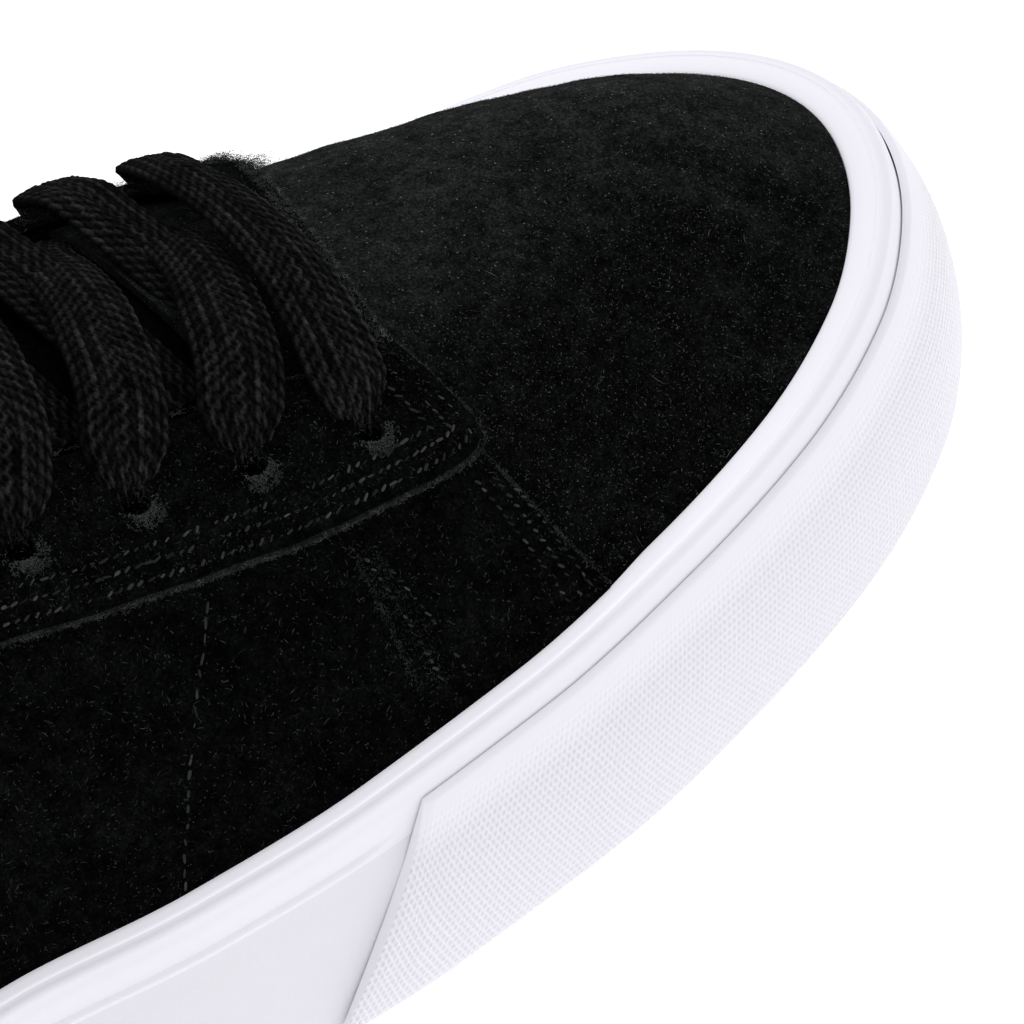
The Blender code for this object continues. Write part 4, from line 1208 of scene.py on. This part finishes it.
def make_fuzz(looks, inner, outer):
    """Raw fibres along the cut edges."""
    dice = rng(12)
    sets = []

    def fringe(plan, height, per_metre, spread, tone, length, turn=0.9, stand=0.0):
        root, normal, heading = along_line(*on_skin(plan, height), per_metre, spread, dice, turn)
        count = len(root)
        root = root + normal * (stand * dice.random((count, 1)) ** 1.5)
        clump = 0.55 + 0.9 * np.sin(900 * root[:, 0] + 3 * np.sin(700 * root[:, 1])) ** 2
        level = tone * clump * (0.3 + dice.random(count) ** 1.6)
        sets.append((root, normal, heading, level, length * (0.7 + 1.3 * dice.random(count) ** 2)))

    for plan, per_metre, spread in ((outer, 14000, 0.00017), (inner, 10000, 0.00018)):
        fringe(plan, stay_top(plan) - 0.0002, per_metre, spread, 0.17, 0.00033)
    band = outer[(outer[:, 1] > NARROW_FRONT[0]) & (outer[:, 1] < 0.026) & (outer[:, 0] > 0.168)]
    for inset, spread, tone in ((0.0004, 0.00025, 0.30), (0.0014, 0.0003, 0.20), (0.0024, 0.0003, 0.20)):
        line = offset_line(band, inset)
        fringe(line, stay_top(line) - 0.0001, 15000, spread, tone, 0.00045)
    far = outer[(outer[:, 1] > 0.010) & (outer[:, 0] > 0.1755)]
    fringe(far, stay_top(far) - 0.0006, 150000, 0.0012, 0.22, 0.00042, 2.0, 0.0011)
    far = inner[(inner[:, 1] > 0.008) & (inner[:, 0] > 0.152) & (inner[:, 0] < 0.172)]
    fringe(far, stay_top(far) - 0.0013, 120000, 0.0012, 0.42, 0.00045, 2.0, 0.0018)
    edge = drawn(np.array(QUARTER_EDGE)[:, ::-1], 3)
    for low, high in ((-0.0482, -0.0362), (0.034, 0.0465)):
        fringe(edge[(edge[:, 1] > low) & (edge[:, 1] < high)], 0.0008, 16000, 0.00016, 0.16, 0.00032)
    for flip in (1, -1):
        fringe(drawn(PATCH_EDGE, 2, flip), 0.0011, 15000, 0.00030, 0.10, 0.00030)
        fringe(drawn(PATCH_ROWS[0], 2, flip), 0.0011, 26000, 0.0012, 0.09, 0.00024, 2.0)
    root, normal, heading, tone, length = (np.concatenate(part) for part in zip(*sets))
    width = np.full(len(root), 0.00009)
    fibres("raw_edges", root, normal, heading, length, width, tone, looks["fibre"], dice, 0.0002)
    make_rims(looks, dice)


def make_rims(looks, dice):
    """Patches of raw fibres round the eyelets, on the side away from the throat."""
    sets = []
    for side in (-1, 1):
        angle, share = eyelets(side)
        centres = raised(angle, share, np.full(len(angle), EYESTAY_TOP))
        normals = surface_normal(angle, share)
        aways = unit(last_surface(angle, share - 0.02) - last_surface(angle, share))
        aheads = np.cross(aways, normals) * side
        for k, (centre, normal, away, ahead) in enumerate(zip(centres, normals, aways, aheads)):
            aim = dice.normal(0, 0.50, (EYELET_FIBRES, 1))
            far = 0.0021 * dice.random((EYELET_FIBRES, 1)) ** 1.3 * (0.4 + 0.6 * np.cos(aim).clip(0))
            root = centre + (away * np.cos(aim) + ahead * np.sin(aim)) * (0.5 * EYELET_HOLE + far)
            patchy = np.sin(2600 * root[:, 0] + 5 * k) + np.sin(2100 * root[:, 1] + 900 * root[:, 0])
            keep = patchy > -0.7 + 1.1 * dice.normal(size=EYELET_FIBRES)
            root, far = root[keep], far[keep]
            rise = np.broadcast_to(normal, root.shape)
            level = 0.07 + 0.26 * dice.random(len(root)) ** 1.4
            sets.append((root, rise, any_way(rise, dice), level * (1.15 - 300 * far[:, 0])))
    root, normal, heading, tone = (np.concatenate(part) for part in zip(*sets))
    count = len(root)
    length = 0.00025 + 0.0004 * dice.random(count) ** 2
    width = np.full(count, 0.00011)
    fibres("eyelet_rims", root, normal, heading, length, width, tone, looks["fibre"], dice, 0.00025)


def eyelet_rings(base, radius, heights):
    """Rings of points round the axis of each eyelet, at heights over a base."""
    points = []
    for side in (-1, 1):
        angle, share = eyelets(side)
        middle = raised(angle, share, np.full(len(angle), base))
        for centre, rise in zip(middle, surface_normal(angle, share)):
            turn = Vector(rise).to_track_quat("Z", "Y").to_matrix()
            for height in heights:
                for k in range(EYELET_SIDES):
                    a = 2 * pi * k / EYELET_SIDES
                    ring = Vector((radius * np.cos(a), radius * np.sin(a), height))
                    points.append(tuple(Vector(centre) + turn @ ring))
    return points


def punch(piece, looks):
    """Holes through the eyestay at the eyelets, with raw walls and a dark disc in each as painted shade in
    the hole.
    """
    count = EYELET_SIDES
    points = eyelet_rings(QUARTER_STEP, 0.5 * EYELET_HOLE, (0.00005, 0.004))
    faces = []
    for start in range(0, len(points), 2 * count):
        faces.append(list(range(start, start + count))[::-1])
        faces.append(list(range(start + count, start + 2 * count)))
        faces += grid_quads(2, count, True, start).tolist()
    cutter = link("eyelet_cutter", points, faces, [looks["raw"]])
    cut = piece.modifiers.new("holes", "BOOLEAN")
    cut.operation = "DIFFERENCE"
    cut.object = cutter
    graph = bpy.context.evaluated_depsgraph_get()
    mesh = bpy.data.meshes.new_from_object(piece.evaluated_get(graph))
    piece.modifiers.clear()
    piece.data = mesh
    bpy.data.objects.remove(cutter)
    # Dark discs a little over the quarter in each hole: painted shade for the hollow of the eyelet.
    points = eyelet_rings(QUARTER_STEP + 0.0002, 0.56 * EYELET_HOLE, (0,))
    faces = [list(range(start, start + count)) for start in range(0, len(points), count)]
    wear(link("eyelet_shade_discs", points, faces, [looks["hole"]], recalc=False), "suede")


# Laces

def lace_tube(centre, normal, width, thick, fold):
    """Flat braid: floats of yarn in slanting columns, raised on its face. Fold lifts its edges."""
    tangent = unit(np.gradient(centre, axis=0))
    cross = unit(np.cross(normal, tangent))
    rise = unit(np.cross(tangent, cross))
    half, thick, fold = 0.5 * width[:, None], thick[:, None], fold[:, None]

    def section(across, height):
        return centre[:, None] + cross[:, None] * across[..., None] + rise[:, None] * height[..., None]

    way, along = np.meshgrid(np.linspace(-1, 1, 3 * BRAID_COLUMNS + 1), arc_lengths(centre), indexing="xy")
    column = (way * 0.5 + 0.5) * BRAID_COLUMNS
    column = column + 0.16 * np.sin(2 * pi * along / BRAID_PITCH) * (1 - np.abs(way) ** 4)
    cell = np.floor(np.clip(column, 0, BRAID_COLUMNS - 1e-6))
    inside = column - cell - 0.5
    lean = np.where(cell < BRAID_COLUMNS / 2, 1.0, -1.0)
    phase = along / BRAID_PITCH + 0.5 * (cell % 2) + 0.75 * lean * inside + 0.13 * np.sin(5.1 * cell)
    turn = np.floor(phase)
    pillow = np.sqrt(np.clip(1 - (inside / 0.56) ** 2, 0, 1))
    pillow = pillow * np.clip(1 - ((phase - turn - 0.5) / 0.54) ** 2, 0, 1) ** 0.45
    loose = 1 + 1.3 * np.clip(fold / 0.0012, 0, 1)
    # A random factor per float, in its height and in the tone the look gives it.
    float_random = 0.5 + 0.5 * np.sin(12.9898 * cell + 78.233 * turn) * np.cos(3.7 * cell + 41.1 * turn)
    body = 0.5 * thick * (1 - np.abs(way) ** 2.6) ** 0.5
    height = body + BRAID_RELIEF * loose * (pillow * (0.72 + 0.5 * float_random) - 0.55) + fold * way**2
    across = way * half + np.sign(way) * 0.00035 * np.abs(way) ** 8 * (pillow - 0.4)
    back = np.broadcast_to(np.linspace(1, -1, 12)[1:-1], (len(centre), 10))
    low = -0.5 * thick * (1 - np.abs(back) ** 2.6) ** 0.5 + fold * back**2
    points = np.concatenate([section(across, height), section(back * half, low)], 1)
    # The depth mark that the look paints shade and light by: each float's raised height, times the random
    # factor per float.
    depth = np.concatenate([pillow * (0.66 + 0.42 * float_random), np.full(back.shape, 0.5)], 1)
    rows, columns = points.shape[:2]
    faces = grid_quads(rows, columns, True).tolist()
    faces.append(list(range(columns)))
    faces.append(list(range((rows - 1) * columns, rows * columns))[::-1])
    return points.reshape(-1, 3), faces, depth.ravel()


def lace_line(start, end, kind):
    """Line of a strand over the last: out from under one edge, over the other and down its eyelet."""
    way = np.linspace(0, 1, 60)
    plan = start + (end - start) * way[:, None]
    half = float(throat_half(station_at(0.5 * (start[0] + end[0]))))
    over = (np.sign(end[1] - start[1]) * (plan[:, 1] - THROAT_SHIFT) + half) / (2 * half)
    reach = np.linalg.norm(plan - end, axis=1)
    plan[:, 0] += eased(np.interp(way, *LACE_SWAY[kind]), 14) * ease(0, 0.009, reach)
    low = tongue_height(plan[:, 0], plan[:, 1]) + LACE_THICKNESS / 2 + 0.0004
    high = EYESTAY_TOP + LACE_THICKNESS / 2 + 0.0002
    if kind == "bar":
        level = high + 0.0022 * np.sin(pi * way) ** 0.8 - plunge(np.linalg.norm(plan - start, axis=1))
    else:
        level = low + (high - low) * smooth(LACE_RISE, kind, over)
    return plan, level - plunge(reach)


def plunge(reach):
    """Drop of a lace into its eyelet."""
    return 0.0046 * np.clip(1 - (reach - 0.0007) / 0.0032, 0, 1) ** 1.7


# How far a strand bends ahead of its straight line, by the way along it
LACE_SWAY = {
    "bar": ((0, 0.12, 0.25, 0.4, 0.55, 0.7, 0.85, 1), (0, -0.0016, -0.0014, 0, 0.0012, 0.0017, 0.0010, 0)),
    "upper": ((0, 0.15, 0.35, 0.55, 0.8, 1), (0, -0.0008, 0.0014, 0.0030, 0.0026, 0)),
    "lower": ((0, 0.5, 0.8, 1), (0, 0.0004, -0.0010, 0)),
}
# Share of the width at five places along a strand
SPAN_WIDTH = {
    "bar": (0.80, 0.79, 0.84, 0.94, 1.00),
    "upper": (0.80, 0.86, 0.96, 1.03, 1.00),
    "lower": (1.0, 1.0, 0.97, 0.86, 0.80),
}
# Height of a strand as a share of the step from the tongue to the eyestay, by the way over the throat
LACE_RISE = table("at upper lower", (
    (0.00, 0.00, 0.00),
    (0.20, 0.06, 0.03),
    (0.50, 0.62, 0.20),
    (0.75, 1.00, 0.72),
    (0.88, 1.20, 1.12),
    (1.00, 1.12, 1.12),
    (1.10, 1.02, 1.02),
))


def make_strand(start, end, kind):
    plan, level = lace_line(start, end, kind)
    point, normal = on_skin(plan, level)
    length = arc_lengths(point)
    at = np.linspace(0, length[-1], int(length[-1] / 0.00028))
    line = eased(sample(at, length, np.concatenate([point, normal], 1)), 10)
    left = at[-1] - at
    if kind == "bar":
        left = np.minimum(left, at)
    full = ease(0.0010, 0.0090, left)
    width = LACE_SPREAD * (0.46 + 0.54 * full)
    width = width * np.interp(at / at[-1], (0, 0.3, 0.5, 0.75, 1), SPAN_WIDTH[kind])
    thick = LACE_THICKNESS * 1.25 * (1.15 - 0.15 * full)
    return lace_tube(line[:, :3], unit(line[:, 3:]), width, thick, 0.0013 * (1 - ease(0.0, 0.0050, left)))


def joined(name, parts, look, mark="depth"):
    """One piece of parts that are each given as points, faces and a mark at the points."""
    points, faces, marks = zip(*parts)
    starts = np.cumsum([0] + [len(some) for some in points]).tolist()
    faces = [[n + start for n in face] for start, some in zip(starts, faces) for face in some]
    marks = {mark: np.concatenate(marks)}
    return link(name, np.concatenate(points), faces, [look], marks=marks, recalc=False)


def make_laces(looks):
    sides = {side: last_surface(*eyelets(side))[:, :2] for side in (-1, 1)}
    bar = make_strand(sides[1][0], sides[-1][0], "bar")
    wear(joined("lace_front", [bar], looks["lace"]), "lace", "lace_bar")
    for k in range(len(sides[1]) - 1):
        strands = []
        for kind, side in (("upper", -1), ("lower", 1)):
            start, end = sides[-side][k], sides[side][k + 1]
            start = start + (end - start) * (EYELET_INSET + 0.3 * LACE_INSET) / np.linalg.norm(end - start)
            strands.append(make_strand(start, end, kind))
        wear(joined(f"lace_pair_{k + 1}", strands, looks["lace"]), "lace", f"lace_crossing_{k + 1}")


# Tongue and insole

def make_tongue(looks):
    """Padded tongue with a bound edge, crowned between its sides."""
    tip = x_at(THROAT_BACK) - TONGUE_RISE
    straight = np.linspace(x_at(THROAT_FRONT) + TONGUE_TUCK, tip + TONGUE_CORNER, 110)
    turns = np.linspace(0, 0.5 * pi, 16)[1:-1]
    lengthwise = np.concatenate([straight, tip + TONGUE_CORNER * (1 - np.sin(turns)), [tip]])
    crosswise = np.sin(np.linspace(-0.5, 0.5, 45) * pi)
    x, way = np.meshgrid(lengthwise, crosswise, indexing="ij")
    corner = np.clip((tip + TONGUE_CORNER - x) / TONGUE_CORNER, 0, 1)
    past = np.clip((x_at(THROAT_BACK + CORNER_REACH / 2) - x) / TONGUE_RISE, 0, 1)
    half = 0.5 * TONGUE_WIDTH - TONGUE_TAPER * past - TONGUE_CORNER * (1 - np.sqrt(1 - corner**2))
    y = THROAT_SHIFT + half * way
    top = tongue_height(x, y)
    edge = np.minimum((1 - np.abs(way)) * half, (x - tip) + 0.0005)
    puff = 1 - np.exp(-edge / 0.004)
    channel = np.exp(-((edge - 0.0055) / 0.0012) ** 2)
    thick = TONGUE_EDGE + (TONGUE_THICKNESS - TONGUE_EDGE) * puff
    outer = tongue_point(x, y, top - 0.0009 * channel - 0.0008 * (1 - puff))
    inner = tongue_point(x, y, top - thick)
    piece = slab("tongue_pad", outer, inner, [looks["cover"]] * 2)
    wear(piece, "tongue", "tongue")


def make_insole(looks):
    """Insole with a soft cup round its edge."""
    stations = station_of(np.linspace(pi, 0, 90))
    base = bed(stations) + GAP
    rows = []
    for way in np.linspace(-1, 1, 25):
        angle = angle_of(stations, -1.0 if way < 0 else 1.0)
        point = feather(angle) - (WALL + SKIN_GAP) * outward(angle)
        point[0, 1] = point[-1, 1] = 0.0
        point[:, 1] *= abs(way)
        point[:, 2] = base + INSOLE_THICKNESS * (0.86 + 0.14 * abs(way) ** 3)
        rows.append(point)
    top = np.array(rows)
    low = top.copy()
    low[..., 2] = base
    wear(slab("insole_pad", top, low, [looks["footbed"]] * 2), "insole", "insole")


# Camera, light and floor

CAMERA_TARGET = Vector((0.172931, -0.04151, 0.040))
CAMERA_TURN = -18.489
CAMERA_RISE = 37.856
CAMERA_ROLL = -24.626
CAMERA_DISTANCE = 0.964086
CAMERA_LENS = 289.137  # millimetres, on a sensor 36 mm wide


def make_camera():
    turn, rise, roll = np.radians([CAMERA_TURN, CAMERA_RISE, CAMERA_ROLL])
    ahead = -Vector((np.sin(turn) * np.cos(rise), -np.cos(turn) * np.cos(rise), np.sin(rise)))
    right = Vector((np.cos(turn), np.sin(turn), 0))
    above = right.cross(ahead)
    side = np.cos(roll) * right + np.sin(roll) * above
    top = -np.sin(roll) * right + np.cos(roll) * above
    data = bpy.data.cameras.new("camera")
    data.lens = CAMERA_LENS
    data.sensor_width = 36.0
    data.sensor_fit = "HORIZONTAL"
    data.clip_start = 0.05
    data.clip_end = 50
    camera = bpy.data.objects.new("camera", data)
    axes = Matrix((side, top, -ahead)).transposed().to_4x4()
    camera.matrix_world = Matrix.Translation(CAMERA_TARGET - ahead * CAMERA_DISTANCE) @ axes
    bpy.context.scene.collection.objects.link(camera)
    bpy.context.scene.camera = camera


def area_light(name, place, aim, size, power):
    data = bpy.data.lights.new(name, "AREA")
    data.shape = "DISK"
    data.size = size
    data.energy = power
    obj = bpy.data.objects.new(name, data)
    obj.location = place
    obj.rotation_euler = (Vector(aim) - Vector(place)).to_track_quat("-Z", "Y").to_euler()
    bpy.context.scene.collection.objects.link(obj)


def make_studio():
    world = bpy.data.worlds.new("studio")
    world.use_nodes = True
    dress(world.node_tree.nodes["Background"], Color=(0.98, 0.985, 1.0), Strength=0.74)
    bpy.context.scene.world = world
    area_light("key", (0.35, -0.9, 1.1), (0.12, 0, 0.03), 0.7, 1.6)
    area_light("back", (0.5, 0.9, 0.7), (0.16, 0, 0.04), 0.5, 2.6)
    pale, surface = shader("floor_pale", (0.92, 0.92, 0.92), 0.9, 0.1)
    dress(surface, Emission_Color=(1, 1, 1), Emission_Strength=0.45)
    size = 3.0
    points = [(-size, -size, 0), (size, -size, 0), (size, size, 0), (-size, size, 0)]
    link("floor", points, [(0, 1, 2, 3)], [pale], recalc=False)
    bpy.context.scene.view_settings.view_transform = "Standard"
    bpy.context.scene.view_settings.look = "None"


# Sole

# Share of the ledge's light that the upper takes, by the way across the ledge, and the light that the
# look gives back, by station
LEDGE_SHADE = ((0, 0.15, 0.5, 0.62, 0.72, 0.84, 0.96), (0.92, 0.84, 0.98, 0.92, 0.86, 0.34, 0.08))
SHADE_FADE = ((QUARTER_FRONT, QUARTER_FRONT + 0.14, 0.99), (0.34, 0.175, 0.12))


def sole_profile(station):
    """Outer face of the sidewall as reach from the feather line and height, finer than the solid's."""
    top = feather_height(station)
    low = ground(station) + FOXING_LIFT
    rib = RIB_SIZE * (1 - ease(BUMPER_TOP_END - 0.035, BUMPER_TOP_END - 0.010, station))
    wall = LEDGE_WIDTH + GAP
    start = SIDE_GAP * (1 - ease(QUARTER_FRONT, QUARTER_FRONT + 0.03, station))
    pairs = [(start, low), (start, top - 0.0010), (start, top - 0.0003), (start + 0.0002, top - 0.0001)]
    for way, drop in ((0.15, 0), (0.35, 0), (0.55, 0), (0.655, 0), (0.67, 0.00010), (0.685, 0)):
        pairs.append((way * LEDGE_WIDTH, top - drop))
    for turn in np.linspace(0, 0.5 * pi, 6):
        reach = LEDGE_WIDTH - LEDGE_ROUND + LEDGE_ROUND * np.sin(turn)
        pairs.append((reach, top - 0.0001 - (LEDGE_ROUND - 0.0001) * (1 - np.cos(turn))))
    for height in (top - 0.6 * BUMPER_DROP, top - BUMPER_DROP, top - RIB_DROP + 1.6 * RIB_SIZE):
        pairs.append((wall, height))
    for turn in np.linspace(-1, 1, 9):
        pairs.append((wall + rib * np.cos(0.5 * pi * turn), top - RIB_DROP - turn * RIB_SIZE))
    pairs.append((wall, top - RIB_DROP - 1.5 * RIB_SIZE))
    for way in np.linspace(0.35, 0.93, 8):
        reach = wall + (SIDE_REACH - wall) * way + SIDE_SWELL * np.sin(pi * way)
        pairs.append((reach, top + (low - top) * way))
    for turn in np.linspace(0, 0.5 * pi, 5):
        pairs.append((SIDE_REACH - SOLE_ROUND * (1 - np.cos(turn)), low + SOLE_ROUND * (1 - np.sin(turn))))
    return [(reach + 0 * station, height) for reach, height in pairs]


def make_sidewall(looks):
    angle = np.linspace(0, 2 * pi, 720, endpoint=False)
    station = station_of(angle)
    profile = sole_profile(station)
    points = np.array([swept(angle, reach, height) for reach, height in profile])
    count, columns = points.shape[:2]
    along = arc_lengths(points[12])
    place = np.stack(np.broadcast_arrays(along[None, :], points[8, :, 2] - points[..., 2]), -1)
    last = (count - 1) * columns
    a = np.arange(columns)
    close = np.stack([last + a, last + (a + 1) % columns, (a + 1) % columns, a], -1)
    faces = np.concatenate([grid_quads(count, columns, True), close]).tolist()
    slots = np.where(np.repeat(np.arange(count - 1), columns) < 28, 0, 1).tolist() + [1] * columns
    reach = np.array([pair[0] for pair in profile]) / LEDGE_WIDTH
    level = points[..., 2] > feather_height(station) - 0.0012
    shade = level * np.interp(reach, *LEDGE_SHADE) * np.interp(station, *SHADE_FADE)
    piece = link("sidewall", points, faces, [looks["ledge"], looks["grain"]], slots, place, {"shade": shade})
    wear(piece, "foxing_rubber", "foxing")


def swept(angle, reach, height):
    point = feather(angle) + np.asarray(reach)[..., None] * outward(angle)
    point[..., 2] = height
    return point


def make_bumper(looks):
    """Textured strip round the toe with a smooth, rounded margin and slanting ends."""
    ways = np.concatenate([np.linspace(0, 0.06, 5), np.linspace(0.08, 0.92, 34), np.linspace(0.94, 1, 5)])
    turns = np.linspace(-1, 1, 361)
    end = BUMPER_TOP_END + (BUMPER_LOW_END - BUMPER_TOP_END) * ways
    angle = turns[None, :] * np.abs(angle_of(end, 1))[:, None]
    station = station_of(angle)
    top = feather_height(station) - BUMPER_DROP
    low = ground(station) + FOXING_LIFT
    way = ways[:, None] + 0 * station
    height = top + (low - top) * way
    swell = SIDE_REACH + SIDE_SWELL - LEDGE_WIDTH - GAP
    inner = LEDGE_WIDTH + 1.7 * GAP + swell * np.minimum(1, 2 * way)
    belly = np.sin(pi * np.clip(way, 0, 1)) ** 0.7
    thick = BUMPER_REACH - SIDE_REACH - SIDE_SWELL - GAP - BUMPER_EDGE - 0.0005
    outer = inner + BUMPER_EDGE + thick * belly
    edge = np.minimum(way, 1 - way) * (top - low)
    ends = (1 - np.abs(turns[None, :])) * np.abs(angle_of(end, 1))[:, None] * 0.13
    round_off = np.minimum(edge, ends)
    outer = outer - 0.00035 * (1 - np.sqrt(1 - (1 - np.clip(round_off / 0.0004, 0, 1)) ** 2))
    points = swept(angle, outer, height)
    along = arc_lengths(points[len(ways) // 2])
    place = np.stack([along[None, :] + 0 * way, top - height], -1)
    piece = slab("toe_strip", points, swept(angle, inner, height), [looks["knurl"], looks["ledge"]], place)
    wear(piece, "bumper_rubber", "toe_bumper")


def main():
    looks = make_looks()
    make_camera()
    make_studio()
    make_vamp(looks)
    make_quarters(looks)
    make_sidewall(looks)
    make_bumper(looks)
    inner, outer = make_eyestay(looks)
    make_stitching(looks, outer)
    make_fuzz(looks, inner, outer)
    make_laces(looks)
    make_tongue(looks)
    make_insole(looks)
    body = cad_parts["outsole"]
    body.data.materials.clear()
    body.data.materials.append(looks["grain"])


main()
